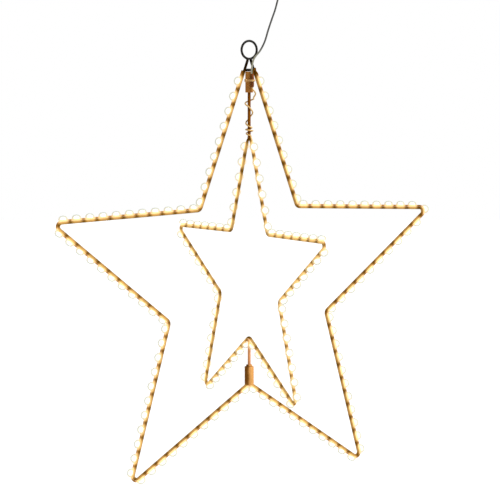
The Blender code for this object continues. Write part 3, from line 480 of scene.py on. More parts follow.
def piece(node, mesh, materials, body, also=()):
    """Close, smooth and mark a mesh, and hand it to the frame as the finished form of its node."""
    name = f"{node}_finished"
    bmesh.ops.recalc_face_normals(mesh, faces=mesh.faces)
    data = mesh_data(name, mesh)
    data.shade_smooth()
    data.set_sharp_from_angle(angle=SHARP_ANGLE)
    for material in materials if isinstance(materials, tuple) else (materials,):
        data.materials.append(material)
    mark_lamp_distance(data)
    obj = place_object(name, data)
    if body:
        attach(obj, body)
    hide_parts(node, *also)
    return obj


def skin_loops(mesh, loops, ring):
    pairs = zip(loops, loops[1:] + loops[:1]) if ring else zip(loops, loops[1:])
    for low, high in pairs:
        for k in range(len(low)):
            after = (k + 1) % len(low)
            mesh.faces.new((low[k], low[after], high[after], high[k]))


def hull_outline(circles, extra):
    """The tight closed line round a set of circles, each (x, y, radius)."""
    points = []
    for k in range(BAND_STEPS):
        angle = 2 * math.pi * (k + 1 / 2) / BAND_STEPS
        direction = Vector((math.cos(angle), math.sin(angle)))
        x, y, radius = max(circles, key=lambda c: c[0] * direction.x + c[1] * direction.y + c[2])
        points.append((x + direction.x * (radius + extra), y + direction.y * (radius + extra)))
    return points


def band_into(mesh, circles, thickness, height, place):
    """A strap with rounded edges round a set of circles, its lower edge at the place."""
    loops = []
    for depth, level in BAND_SECTION:
        outline = hull_outline(circles, CLEARANCE / 2 + (thickness + CLEARANCE / 2) * depth)
        loops.append([mesh.verts.new((x + place[0], y + place[1], level * height + place[2])) for x, y in outline])
    skin_loops(mesh, loops, True)
    return mesh


def turned_into(mesh, profile, place=(0.0, 0.0, 0.0), sides=TURNED_SIDES, turn=None, ripple=None):
    """Turn a profile of (radius, height) about Z; a first and last radius of zero close it, else it is a ring."""
    spin = turn or Matrix.Identity(3)
    rings, poles = [], {}
    for k, (radius, height) in enumerate(profile):
        if radius == 0:
            poles[k] = mesh.verts.new(spin @ up(height) + Vector(place))
            continue
        ring = []
        for s in range(sides):
            angle = 2 * math.pi * s / sides
            reach = radius * (1 + (ripple(angle, height) if ripple else 0.0))
            ring.append(mesh.verts.new(spin @ around(reach, angle, height) + Vector(place)))
        rings.append(ring)
    skin_loops(mesh, rings, profile[0][0] > 0)
    for k, pole in poles.items():
        ring = rings[0] if k == 0 else rings[-1]
        for s in range(sides):
            mesh.faces.new((ring[s], ring[(s + 1) % sides], pole))
    return mesh


def rounded_box_into(mesh, low, high, corner, steps=4):
    size = [b - a for a, b in zip(low, high)]
    middle = [(a + b) / 2 for a, b in zip(low, high)]
    box = bmesh.ops.create_cube(mesh, size=1, matrix=Matrix.LocRotScale(Vector(middle), None, Vector(size)))
    edges = {edge for vert in box["verts"] for edge in vert.link_edges}
    bmesh.ops.bevel(mesh, geom=list(edges), offset=corner, segments=steps, profile=1 / 2, affect="EDGES")


def weld_bead_into(mesh, centre, reach, squeeze):
    """A small uneven weld bead."""
    ball = bmesh.ops.create_icosphere(mesh, subdivisions=3, radius=1.0)
    for vert in ball["verts"]:
        lump = 1 + WELD_LUMP * noise.noise(vert.co * WELD_LUMP_SCALE + Vector(centre) * WELD_LUMP_SPREAD)
        vert.co = Vector(centre) + Vector([c * s * reach * lump for c, s in zip(vert.co, squeeze)])


# ---- Camera, cord and what is on it ----

def seen_from(azimuth, elevation):
    """The way to a camera or lamp, in degrees to the right of the front and above level."""
    a, e = math.radians(azimuth), math.radians(elevation)
    return Vector((math.sin(a) * math.cos(e), -math.cos(a) * math.cos(e), math.sin(e)))


def make_camera():
    camera = bpy.data.cameras.new("camera")
    camera.lens = CAMERA_LENS_MM
    camera.sensor_width = CAMERA_SENSOR_MM
    back = seen_from(CAMERA_AZIMUTH, CAMERA_ELEVATION)
    obj = place_object("camera", camera)
    obj.location = Vector(CAMERA_AIM) + back * CAMERA_DISTANCE
    obj.rotation_euler = back.to_track_quat("Z", "Y").to_euler()
    bpy.context.scene.camera = obj


def hank_half_width(turn):
    middle = HANK_RUN_TURN / 2
    turns, distances = [0.0], [HANK_LAYER_TURNS + middle]
    for layer in range(1, HANK_LAYERS):
        turns.append(layer * HANK_LAYER_TURNS + middle)
        distances.append(0.0 if layer % 2 else HANK_LAYER_TURNS)
    turns.append(HANK_LAYERS * HANK_LAYER_TURNS + 2 * middle)
    distances.append(HANK_LAYER_TURNS + middle)
    return HANK_INNER_HALF_WIDTH + HANK_STEP * float(np.interp(turn, turns, distances))


def hank_layer_depth(turn):
    layer = min(int(turn / HANK_LAYER_TURNS), HANK_LAYERS - 1)
    into_run = (turn - layer * HANK_LAYER_TURNS) / HANK_RUN_TURN
    climbed = min(max(into_run, 0.0), 1.0) if layer else 0.0
    return HANK_LAYER_STEP * (max(layer - 1, 0) + climbed)


def hank_points():
    """Flat loops that spiral in and out in layers, drawn in at the waist."""
    bend_turn = 1 / 2 - HANK_RUN_TURN
    points = []
    for k in range(round((HANK_LAYERS * HANK_LAYER_TURNS + HANK_RUN_TURN) * LOOP_STEPS) + 1):
        turn = k / LOOP_STEPS
        half_width = hank_half_width(turn)
        phase = turn % 1
        side = 1 if phase < 1 / 2 else -1
        along = (phase % (1 / 2)) / HANK_RUN_TURN
        if along <= 1:
            x = side * (half_width - HANK_WAIST_DEPTH * math.sin(math.pi * along) ** 2)
            z = side * HANK_RUN_LENGTH * (along - 1 / 2)
        else:
            angle = math.pi * (phase % (1 / 2) - HANK_RUN_TURN) / bend_turn
            x = side * half_width * math.cos(angle)
            z = side * (HANK_RUN_LENGTH / 2 + half_width * math.sin(angle))
        points.append(Vector((HANK_CENTRE_X + x, HANK_FRONT_Y + hank_layer_depth(turn), HANK_CENTRE_Z + z)))
    return [points[0] - up(CORD_DIAMETER)] + points + [points[-1] + up(CORD_DIAMETER)]


def make_cord():
    """The whole supply cord, from the joint through the hank to the adapter's strain relief."""
    hank = hank_points()
    rise, gap = up(CORD_DIAMETER), up(CLEARANCE)
    start = Vector((CORD_IN_JOINT_X, JOINT_Y, JOINT_TOP_Z)) + gap
    supply = smooth_route([start, start + rise, *SUPPLY_ROUTE, hank[0] - gap - rise, hank[0] - gap], SUPPLY_SPACING)
    relief_tip = Vector((ADAPTER_X, RELIEF_Y, ADAPTER_TOP_Z + CLEARANCE + RELIEF_LENGTH))
    plug_lead = smooth_route([hank[-1] + gap, hank[-1] + gap + rise, *PLUG_ROUTE, relief_tip + gap + rise,
                              relief_tip + gap], PLUG_LEAD_SPACING)
    points = supply + hank[1:-1] + plug_lead
    curve = bpy.data.curves.new("supply_cord_finished", "CURVE")
    curve.dimensions = "3D"
    curve.bevel_depth = CORD_DIAMETER / 2
    curve.bevel_resolution = 4
    curve.use_fill_caps = True
    spline = curve.splines.new("POLY")
    spline.points.add(len(points) - 1)
    for spline_point, point in zip(spline.points, points):
        spline_point.co = (*point, 1.0)
    curve.materials.append(cord_finish())
    cord = place_object("supply_cord_finished", curve)
    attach(cord, "outer_star")
    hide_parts("supply_cord", "cord_hank", "plug_lead")
    on_cord = [make_hank_tie(hank), make_relief(), *make_shells(), "adapter_board", "adapter_transformer",
               *make_pins()]


def make_hank_tie(hank):
    """The ribbed band round the middle of the hank."""
    circles = [(p.x - HANK_CENTRE_X, p.y - HANK_FRONT_Y, CORD_DIAMETER / 2)
               for p in hank if abs(p.z - HANK_CENTRE_Z) < HANK_TIE_HEIGHT]
    mesh = bmesh.new()
    rib_height = HANK_TIE_HEIGHT / HANK_TIE_RIBS
    for k in range(HANK_TIE_RIBS):
        place = (HANK_CENTRE_X, HANK_FRONT_Y, HANK_CENTRE_Z - HANK_TIE_HEIGHT / 2 + k * rib_height)
        band_into(mesh, circles, HANK_TIE_THICKNESS, rib_height, place)
    return piece("hank_tie", mesh, rubber_finish(), "outer_star")


def make_relief():
    """The adapter's strain relief, tapered, with grooves round it so that it bends."""
    foot, tip = RELIEF_FOOT_DIAMETER / 2, RELIEF_TIP_DIAMETER / 2
    profile = [(0.0, 0.0)]
    for k in range(RELIEF_RIBS):
        for share, waist in RELIEF_RIB:
            level = (k + share) / RELIEF_RIBS
            radius = foot + (RELIEF_TIP_DIAMETER - RELIEF_FOOT_DIAMETER) / 2 * level
            profile.append((radius * (1 - waist), RELIEF_LENGTH * level))
    profile += [(tip * share, RELIEF_LENGTH * level) for share, level in RELIEF_TIP] + [(0.0, RELIEF_LENGTH)]
    mesh = turned_into(bmesh.new(), profile, (ADAPTER_X, RELIEF_Y, ADAPTER_TOP_Z + CLEARANCE), RELIEF_SIDES)
    return piece("cord_relief", mesh, adapter_finish(), "outer_star")


def make_shells():
    """The power supply's two shells, the front one with a row of grip ribs down each side."""
    half_width, half_depth = ADAPTER_WIDTH / 2, ADAPTER_DEPTH / 2
    x, y, top, foot = ADAPTER_X, RELIEF_Y, ADAPTER_TOP_Z, ADAPTER_TOP_Z - ADAPTER_HEIGHT
    case = bmesh.new()
    rounded_box_into(case, (x - half_width, y - half_depth, foot), (x + half_width, y + ADAPTER_SPLIT, top),
                     ADAPTER_CORNER)
    for side in (-1, 1):
        edge = x + side * (half_width - GRIP_DEPTH)
        for k in range(GRIP_RIBS):
            level = top - ADAPTER_HEIGHT / 2 + (k - GRIP_RIBS // 2) * GRIP_PITCH
            rounded_box_into(case, (edge - GRIP_DEPTH, y + GRIP_FRONT_Y, level - GRIP_HALF_HEIGHT),
                             (edge + GRIP_DEPTH, y + GRIP_BACK_Y, level + GRIP_HALF_HEIGHT), GRIP_CORNER, 2)
    base = bmesh.new()
    rounded_box_into(base, (x - half_width, y + (ADAPTER_SPLIT + CLEARANCE), foot),
                     (x + half_width, y + half_depth, top), BASE_CORNER, 3)
    return [piece(node, mesh, adapter_finish(), "outer_star")
            for node, mesh in (("adapter_case", case), ("adapter_base", base))]


def make_pins():
    """Two mains pins, each with a moulded sleeve over its root and a rounded bright end."""
    pins = []
    turn = Matrix.Rotation(-math.pi / 2, 3, "X")
    radius, length = PIN_DIAMETER / 2, ADAPTER_BASE_THICKNESS + PIN_LENGTH
    root = ADAPTER_BASE_THICKNESS + PIN_LENGTH / 2
    lip = root + PIN_SLEEVE_LIP
    sleeve = [(0.0, 0.0), (radius, 0.0), (radius, root), *((radius * share, lip) for share in PIN_LIP), (0.0, lip)]
    bright = [(0.0, root), (radius * PIN_ROOT, root),
              *((radius * share, length - radius * back) for share, back in PIN_END), (0.0, length)]
    for name, side in (("left", -1), ("right", 1)):
        place = (ADAPTER_X + side * PIN_SPACING / 2, RELIEF_Y + ADAPTER_SPLIT, ADAPTER_TOP_Z - PIN_DROP)
        mesh = turned_into(bmesh.new(), sleeve, place, PIN_SIDES, turn)
        sleeve_faces = len(mesh.faces)
        turned_into(mesh, bright, place, PIN_SIDES, turn)
        mesh.faces.ensure_lookup_table()
        for face in mesh.faces[sleeve_faces:]:
            face.material_index = 1
        pins.append(piece(f"plug_pin_{name}", mesh, (adapter_finish(), pin_finish()), "outer_star"))
    return pins


# ---- Node trees ----

def feed(tree, node, values):
    """Set a node's inputs: a node or socket is linked, and any other value is the input's own."""
    for key, value in values.items():
        socket = node.inputs[key]
        if isinstance(value, bpy.types.Node):
            value = value.outputs[0]
        if isinstance(value, bpy.types.NodeSocket):
            tree.links.new(value, socket)
        else:
            socket.default_value = (*value, 1.0) if socket.type == "RGBA" else value


def put(tree, kind, values=(), **settings):
    """A new node with its settings and inputs."""
    node = tree.nodes.new(kind)
    for key, value in settings.items():
        setattr(node, key, value)
    feed(tree, node, dict(values))
    return node


def maths(tree, operation, *values, **settings):
    return put(tree, "ShaderNodeMath", enumerate(values), operation=operation, **settings)


def vectors(tree, operation, *values):
    return put(tree, "ShaderNodeVectorMath", enumerate(values), operation=operation)


def scaled(tree, colour, level):
    return put(tree, "ShaderNodeVectorMath", {0: colour, "Scale": level}, operation="SCALE")


def mapped(tree, value, low, high, to_low=0.0, to_high=1.0, **settings):
    return put(tree, "ShaderNodeMapRange", {"Value": value, "From Min": low, "From Max": high, "To Min": to_low,
                                            "To Max": to_high}, **settings)


def clouds(tree, place, scale, detail, **more):
    return put(tree, "ShaderNodeTexNoise", {"Vector": place, "Scale": scale, "Detail": detail, **more}).outputs["Fac"]


def blended(tree, share, first, second):
    return put(tree, "ShaderNodeMix", {"Factor": share, 6: first, 7: second}, data_type="RGBA").outputs[2]


def object_place(tree):
    return put(tree, "ShaderNodeTexCoord").outputs["Object"]


def marked(tree, name):
    """A value that the mesh carries at each of its points."""
    return put(tree, "ShaderNodeAttribute", attribute_name=name).outputs["Fac"]


def start_tree(name, kind, inputs, outputs):
    tree = bpy.data.node_groups.new(name, kind)
    for in_out, sockets in (("INPUT", inputs), ("OUTPUT", outputs)):
        for label, socket_kind, *default in sockets:
            socket = tree.interface.new_socket(name=label, in_out=in_out, socket_type=f"NodeSocket{socket_kind}")
            if default:
                socket.default_value = default[0]
    return tree, put(tree, "NodeGroupInput").outputs, put(tree, "NodeGroupOutput")


@once
def tube_tree():
    """A round tube along the edges of its mesh."""
    tree, given, result = start_tree(
        "round tube along a line", "GeometryNodeTree",
        [("Geometry", "Geometry"), ("Diameter", "Float", ROD_DIAMETER), ("Sides", "Int", ROD_SIDES),
         ("Finish", "Material")], [("Geometry", "Geometry")])
    line = put(tree, "GeometryNodeMeshToCurve", {"Mesh": given["Geometry"]})
    radius = maths(tree, "DIVIDE", given["Diameter"], 2.0)
    circle = put(tree, "GeometryNodeCurvePrimitiveCircle", {"Radius": radius, "Resolution": given["Sides"]})
    tube = put(tree, "GeometryNodeCurveToMesh", {"Curve": line, "Profile Curve": circle, "Fill Caps": True})
    coated = put(tree, "GeometryNodeSetMaterial", {"Geometry": tube, "Material": given["Finish"]})
    feed(tree, result, {"Geometry": coated})
    return tree


@once
def light_string_tree():
    """A cable along the edges of its mesh, with a lens moulded on it at each place."""
    tree, given, result = start_tree(
        "light string", "GeometryNodeTree",
        [("Geometry", "Geometry"), ("Cable Diameter", "Float", STRING_FINISHED_DIAMETER),
         ("Cable Sides", "Int", CABLE_SIDES), ("Places", "Object"), ("Lens", "Object"), ("Tilt", "Float", LENS_TILT),
         ("Seed", "Int", LENS_SEED), ("Cable Finish", "Material"), ("Cap Finish", "Material"),
         ("Lamp Finish", "Material")], [("Geometry", "Geometry")])
    cable = put(tree, "GeometryNodeGroup",
                {"Geometry": given["Geometry"], "Diameter": given["Cable Diameter"], "Sides": given["Cable Sides"],
                 "Finish": given["Cable Finish"]}, node_tree=tube_tree())
    places = put(tree, "GeometryNodeObjectInfo", {"Object": given["Places"]})
    lens = put(tree, "GeometryNodeObjectInfo", {"Object": given["Lens"], "As Instance": True})
    outward, along = [put(tree, "GeometryNodeInputNamedAttribute", {"Name": name}, data_type="FLOAT_VECTOR")
                      for name in ("outward", "along")]
    upright = put(tree, "FunctionNodeAlignRotationToVector", {"Vector": outward}, axis="Z")
    turned = put(tree, "FunctionNodeAlignRotationToVector", {"Rotation": upright, "Vector": along}, axis="X",
                 pivot_axis="Z")
    lenses = put(tree, "GeometryNodeInstanceOnPoints", {
        "Points": places.outputs["Geometry"], "Instance": lens.outputs["Geometry"], "Rotation": turned})
    least = maths(tree, "MULTIPLY", given["Tilt"], -1.0)
    lean = put(tree, "FunctionNodeRandomValue", {0: least, 1: given["Tilt"], "Seed": given["Seed"]},
               data_type="FLOAT_VECTOR")
    lean_rotation = put(tree, "FunctionNodeEulerToRotation", {0: lean})
    leaning = put(tree, "GeometryNodeRotateInstances", {"Instances": lenses, "Rotation": lean_rotation,
                                                        "Local Space": True})
    level = put(tree, "FunctionNodeRandomValue", {2: 0.0, 3: 1.0, "Seed": given["Seed"]}, data_type="FLOAT")
    levelled = put(tree, "GeometryNodeStoreNamedAttribute", {
        "Geometry": leaning, "Name": "lamp_level", "Value": level.outputs[1]}, data_type="FLOAT", domain="INSTANCE")
    real = put(tree, "GeometryNodeRealizeInstances", {0: levelled})
    capped = put(tree, "GeometryNodeSetMaterial", {"Geometry": real, "Material": given["Cap Finish"]})
    lamp = put(tree, "GeometryNodeInputNamedAttribute", {"Name": "lens_lamp"}, data_type="FLOAT")
    is_lamp = put(tree, "FunctionNodeCompare", {0: lamp, 1: 0.5}, data_type="FLOAT", operation="GREATER_THAN")
    coated = put(tree, "GeometryNodeSetMaterial", {
        "Geometry": capped, "Selection": is_lamp, "Material": given["Lamp Finish"]})
    both = put(tree, "GeometryNodeJoinGeometry")
    for part in (cable, coated):
        feed(tree, both, {0: part})
    feed(tree, result, {"Geometry": both})
    return tree


def grow(name, carrier, tree, inputs):
    """Run a geometry tree on a carrier mesh and return the result as a bmesh with its materials."""
    obj = place_object(name, carrier)
    modifier = obj.modifiers.new("grow", "NODES")
    modifier.node_group = tree
    for item in tree.interface.items_tree:
        if item.in_out == "INPUT" and item.name in inputs:
            modifier[item.identifier] = inputs[item.name]
    bpy.context.view_layer.update()
    graph = bpy.context.evaluated_depsgraph_get()
    data = bpy.data.meshes.new_from_object(obj.evaluated_get(graph), preserve_all_data_layers=True, depsgraph=graph)
    bpy.data.objects.remove(obj)
    mesh = bmesh.new()
    mesh.from_mesh(data)
    return mesh, tuple(data.materials)


def line_mesh(points, closed=False):
    data = bpy.data.meshes.new("line")
    edges = [(k, k + 1) for k in range(len(points) - 1)] + ([(len(points) - 1, 0)] if closed else [])
    data.from_pydata([tuple(p) for p in points], edges, [])
    return data


def tube_piece(node, points, diameter, material, body, beads=(), closed=False, sides=ROD_SIDES, also=()):
    """A piece of rod, wire or cable along its points, with its weld beads."""
    mesh, _ = grow(f"{node}_line", line_mesh(points, closed), tube_tree(),
                   {"Diameter": diameter, "Sides": sides, "Finish": material})
    for bead in beads:
        weld_bead_into(mesh, *bead)
    return piece(node, mesh, material, body, also)


# ---- Shader groups ----

@once
def lamp_glow_group():
    """Painted light on rods and cables beside a lens, as an emission that follows the distance marked on them."""
    tree, given, result = start_tree(
        "lamp glow", "ShaderNodeTree",
        [("Near Reach", "Float"), ("Near Colour", "Color"), ("Far Reach", "Float"), ("Far Colour", "Color")],
        [("Glow", "Color")])
    distance = marked(tree, "lamp_distance")
    uneven = mapped(tree, clouds(tree, object_place(tree), 55.0, 2.0), 0.3, 0.7, 0.72, 1.15)
    tinted = []
    for light, power in (("Near", 3.0), ("Far", 2.0)):
        bent = maths(tree, "POWER", maths(tree, "DIVIDE", distance, given[f"{light} Reach"]), power)
        fade = maths(tree, "EXPONENT", maths(tree, "MULTIPLY", bent, -1.0))
        tinted.append(scaled(tree, given[f"{light} Colour"], maths(tree, "MULTIPLY", fade, uneven)))
    feed(tree, result, {"Glow": vectors(tree, "ADD", *tinted)})
    return tree


@once
def lacquer_group():
    """Thin spread of lacquer on metal: a slow change of tone, fine specks and rubbed places."""
    tree, given, result = start_tree(
        "lacquer on metal", "ShaderNodeTree",
        [("Colour", "Color"), ("Rubbed Colour", "Color"), ("Scale", "Float"), ("Rub", "Float", 0.3),
         ("Roughness", "Float")],
        [("Colour", "Color"), ("Roughness", "Float"), ("Height", "Float")])
    place = object_place(tree)
    slow = clouds(tree, place, given["Scale"], 4.0, Roughness=0.6)
    fine = clouds(tree, place, maths(tree, "MULTIPLY", given["Scale"], 22.0), 3.0)
    rubbed = maths(tree, "MULTIPLY", mapped(tree, slow, 0.52, 0.72), given["Rub"])
    rough = mapped(tree, fine, 0.3, 0.7, -0.06, 0.08)
    feed(tree, result, {"Colour": blended(tree, rubbed, given["Colour"], given["Rubbed Colour"]),
                        "Roughness": maths(tree, "ADD", rough, given["Roughness"], use_clamp=True), "Height": fine})
    return tree


@once
def moulded_group():
    """Moulded plastic: a faint mottle and a fine grain."""
    tree, given, result = start_tree(
        "moulded plastic", "ShaderNodeTree",
        [("Colour", "Color"), ("Mottle", "Float"), ("Grain Scale", "Float"), ("Roughness", "Float")],
        [("Colour", "Color"), ("Roughness", "Float"), ("Height", "Float")])
    place = object_place(tree)
    swing = mapped(tree, clouds(tree, place, 140.0, 3.0), 0.3, 0.7, -1.0, 1.0)
    mottle = maths(tree, "MULTIPLY", swing, given["Mottle"])
    feed(tree, result, {"Colour": scaled(tree, given["Colour"], maths(tree, "ADD", mottle, 1.0)),
                        "Roughness": maths(tree, "ADD", mottle, given["Roughness"], use_clamp=True),
                        "Height": clouds(tree, place, given["Grain Scale"], 2.0)})
    return tree


@once
def side_shade_group():
    """Painted shade down one side of a drawn tube round the Z axis, where a lit tube shows its darker side, with fine
    drawing lines.
    """
    tree, given, result = start_tree(
        "painted side shade of a drawn tube", "ShaderNodeTree",
        [("Colour", "Color"), ("Seam Colour", "Color")], [("Colour", "Color")])
    place = object_place(tree)
    outward = vectors(tree, "NORMALIZE", vectors(tree, "MULTIPLY", place, (1.0, 1.0, 0.0)))
    side = vectors(tree, "DOT_PRODUCT", outward, SHADED_SIDE).outputs["Value"]
    shift = mapped(tree, clouds(tree, place, 120.0, 2.0), 0.0, 1.0, -0.25, 0.25)
    # Painted shade: the colour darkens towards one side of the tube
    dark = mapped(tree, maths(tree, "ADD", side, shift), 0.20, 0.70, interpolation_type="SMOOTHSTEP")
    drawn = clouds(tree, vectors(tree, "MULTIPLY", place, (2600.0, 2600.0, 60.0)), 1.0, 2.0)
    striped = scaled(tree, given["Colour"], mapped(tree, drawn, 0.3, 0.7, 0.88, 1.12))
    feed(tree, result, {"Colour": blended(tree, dark, striped, given["Seam Colour"])})
    return tree


# ---- Finishes ----

def spaced(values):
    return {label.replace("_", " "): value for label, value in values.items()}


def start_finish(name, **values):
    """A material with its own Principled shader; values set its plain sockets."""
    material = bpy.data.materials.new(name)
    material.use_nodes = True
    tree = material.node_tree
    shader = tree.nodes["Principled BSDF"]
    feed(tree, shader, spaced(values))
    return material, tree, shader


def place_group(tree, group, **values):
    return put(tree, "ShaderNodeGroup", spaced(values), node_tree=group)


def lay_skin(tree, shader, skin, relief=None):
    """Give the shader a group's colour and roughness, and its height as a relief of (strength, depth)."""
    feed(tree, shader, {"Base Color": skin.outputs["Colour"], "Roughness": skin.outputs["Roughness"]})
    if relief:
        feed(tree, shader, {"Normal": put(tree, "ShaderNodeBump", {
            "Strength": relief[0], "Distance": relief[1], "Height": skin.outputs["Height"]})})


def add_glow(tree, shader, near_reach, near_colour, far_reach, far_colour):
    glow = place_group(tree, lamp_glow_group(), Near_Reach=near_reach, Near_Colour=near_colour,
                       Far_Reach=far_reach, Far_Colour=far_colour)
    feed(tree, shader, {"Emission Color": glow, "Emission Strength": 1.0})


@once
def lacquered(name, colour, rubbed, roughness, metallic, glow=None, scale=60.0, specular=0.3, seam=None, unlit=None):
    """Lacquered metal, with painted light from the lenses beside it where glow is given, painted shade down one
    side of a tube where a colour for that shade is given, and painted shade away from the lenses where unlit is given."""
    material, tree, shader = start_finish(name, Metallic=metallic, Specular_IOR_Level=specular)
    coat = place_group(tree, lacquer_group(), Colour=colour, Rubbed_Colour=rubbed, Scale=scale, Roughness=roughness)
    lay_skin(tree, shader, coat, (0.25, 0.00008))
    # Painted shade down one side of the tube
    if seam:
        feed(tree, shader, {"Base Color": place_group(tree, side_shade_group(), Colour=coat, Seam_Colour=seam)})
    # Painted shade away from the lenses
    if unlit:
        shade = mapped(tree, marked(tree, "lamp_distance"), *UNLIT_DISTANCES, 1.0, unlit)
        feed(tree, shader, {"Base Color": scaled(tree, coat, shade)})
    # Painted lens light
    if glow:
        add_glow(tree, shader, *glow)
    return material


@once
def moulded(name, colour, roughness, mottle=0.15, grain=1500.0, glow=None, bump=0.3, **values):
    """Moulded plastic, with painted light from the lights beside it where glow is given."""
    material, tree, shader = start_finish(name, **values)
    skin = place_group(tree, moulded_group(), Colour=colour, Mottle=mottle, Grain_Scale=grain, Roughness=roughness)
    lay_skin(tree, shader, skin, (bump, 0.0001))
    if glow:
        add_glow(tree, shader, *glow)
    return material


def rod_finish(star):
    """Bronze lacquer, with painted lens light beside the lenses and painted shade, near black, where no lens lights
    it.
    """
    return lacquered(f"bronze lacquer on {star} star", (0.044, 0.018, 0.0015), (0.110, 0.046, 0.005), 0.48, 0.0,
                     LAMP_ON_ROD[star], specular=0.0, unlit=UNLIT_SHARE)


def ring_finish():
    return lacquered("black lacquer on wire", (0.010, 0.009, 0.007), (0.030, 0.027, 0.022), 0.40, 0.0, specular=0.1)


def copper_finish():
    # Copper lacquer with painted lens light and painted shade down one side
    return lacquered("copper lacquer on sleeves", (0.58, 0.28, 0.080), (0.68, 0.37, 0.14), 0.36, 0.1,
                     (0.0045, (0.40, 0.25, 0.08), 0.006, (0.10, 0.04, 0.005)), scale=180.0, specular=0.05,
                     seam=(0.21, 0.075, 0.006))


def lit_copper_finish():
    """The same lacquer close under the top lights, as a darker painted copy with painted light from them on its two
    sides.
    """
    return lacquered("copper lacquer between top lights", (0.34, 0.135, 0.030), (0.50, 0.24, 0.07), 0.36, 0.1,
                     (0.0085, (0.70, 0.42, 0.10), 0.0125, (0.34, 0.15, 0.02)), scale=110.0, specular=0.02)


def pin_copper_finish():
    """The same lacquer on the pin, with painted light from the two lenses that its upper end stands between."""
    return lacquered("copper lacquer on pin", (0.50, 0.22, 0.09), (0.58, 0.29, 0.13), 0.36, 0.1,
                     (0.0080, (0.75, 0.55, 0.28), 0.0180, (0.26, 0.12, 0.055)), scale=180.0, specular=0.03)


def top_rod_finish():
    """The rods' lacquer between the rows of lenses of the top arm, as a lighter painted copy with painted light from
    them on all sides.
    """
    return lacquered("bronze lacquer on top rod", (0.19, 0.060, 0.004), (0.26, 0.090, 0.008), 0.48, 0.0,
                     LAMP_ON_ROD["small"], specular=0.0)


def pin_finish():
    return lacquered("bright nickel on pins", (0.72, 0.70, 0.66), (0.80, 0.79, 0.77), 0.22, 1.0, scale=300.0)


def cable_finish(star):
    # Amber cable with painted lens light beside each lens
    return moulded(f"amber cable on {star} star", (0.12, 0.045, 0.004), 0.32, glow=LAMP_ON_CABLE[star],
                   Specular_IOR_Level=0.0)


def lead_finish():
    # Golden cable with painted lamp light beside the lenses
    return moulded("golden cable of the winding", (0.55, 0.34, 0.10), 0.30,
                   glow=(0.004, (0.8, 0.55, 0.2), 0.012, (0.35, 0.18, 0.04)))


def shrink_finish():
    return moulded("brown shrink tube", (0.15, 0.042, 0.006), 0.40, mottle=0.25, grain=700.0, Specular_IOR_Level=0.1)


def tie_finish():
    return moulded("amber nylon tie", (0.52, 0.30, 0.10), 0.38, mottle=0.1)


def rubber_finish():
    return moulded("soft black band", (0.018, 0.018, 0.018), 0.62, grain=900.0, Specular_IOR_Level=0.25)


def adapter_finish():
    return moulded("fine-grained black plastic", (0.022, 0.022, 0.023), 0.46, mottle=0.12, grain=2200.0, bump=0.5)


def board_finish():
    return moulded("green solder mask", (0.02, 0.14, 0.045), 0.35, mottle=0.3, grain=400.0)


def transformer_finish():
    return moulded("yellow tape on the transformer", (0.62, 0.42, 0.05), 0.40, mottle=0.2, grain=300.0)


@once
def cord_finish():
    """Grey cord, with painted lamp light where it comes down to the lights."""
    material = moulded("grey cord", (0.060, 0.060, 0.055), 0.42, grain=2500.0, Specular_IOR_Level=0.2)
    tree = material.node_tree
    height = put(tree, "ShaderNodeSeparateXYZ", {0: object_place(tree)}).outputs["Z"]
    # Painted lamp light, stronger lower down where the cord nears the lights
    lit = scaled(tree, CORD_LIT_COLOUR, mapped(tree, height, *CORD_LIT_HEIGHTS))
    feed(tree, tree.nodes["Principled BSDF"], {"Emission Color": lit, "Emission Strength": 1.0})
    return material


def height_ramp(tree, stops):
    """Colour by height on a lens, from its foot to its crown."""
    ramp = put(tree, "ShaderNodeValToRGB", {"Fac": marked(tree, "lens_height")})
    elements = ramp.color_ramp.elements
    while len(elements) < len(stops):
        elements.new(0.5)
    for element, (position, colour) in zip(elements, stops):
        element.position = position
        element.color = (*colour, 1.0)
    return ramp


@once
def cap_finish():
    """The clear cap: a thin smoky skin, amber at its foot, so that its edge shows round the bright lamp."""
    material, tree, shader = start_finish("clear lens cap", Specular_IOR_Level=0.0, Emission_Strength=1.0)
    lay_skin(tree, shader, place_group(tree, moulded_group(), Colour=height_ramp(tree, CAP_COLOURS), Mottle=0.12,
                                       Grain_Scale=600.0, Roughness=0.22), (0.15, 0.0001))
    feed(tree, shader, {"Emission Color": height_ramp(tree, CAP_GLOWS), "Alpha": height_ramp(tree, CAP_THICKNESSES)})
    return material


@once
def lamp_finish():
    """The lamp in the cap: warm at its foot, near white in its dome, each a little stronger or weaker."""
    material, tree, shader = start_finish("lit lamp", Specular_IOR_Level=0.0, Emission_Strength=1.75)
    lay_skin(tree, shader, place_group(tree, moulded_group(), Colour=(0.70, 0.66, 0.50), Mottle=0.05,
                                       Grain_Scale=600.0, Roughness=0.4))
    swing = mapped(tree, marked(tree, "lamp_level"), 0.0, 1.0, 0.90, 1.08)
    feed(tree, shader, {"Emission Color": scaled(tree, height_ramp(tree, LAMP_GLOWS), swing)})
    return material


# ---- Large star and small star ----

def rod_ends():
    """The two ends of the large star's rod, under the ring."""
    return [OUTER.leg_point(ROD_END_FROM_APEX, 0.0, side) for side in (1, -1)]


def make_rods():
    """Both stars' bent rods: the large one ends under the ring, and the small one is closed."""
    right, left = rod_ends()
    outer = OUTER.put([right] + OUTER.bends(1, 2 * ARM_COUNT - 1) + [left])
    tube_piece("outer_frame", evenly(outer, ROD_SPACING), ROD_DIAMETER, rod_finish("large"), "outer_star")
    inner = INNER.put(INNER.bends(0, 2 * ARM_COUNT - 1))
    tube_piece("inner_frame", evenly(inner + inner[:1], ROD_SPACING)[:-1], ROD_DIAMETER, rod_finish("small"),
               "inner_star", closed=True)


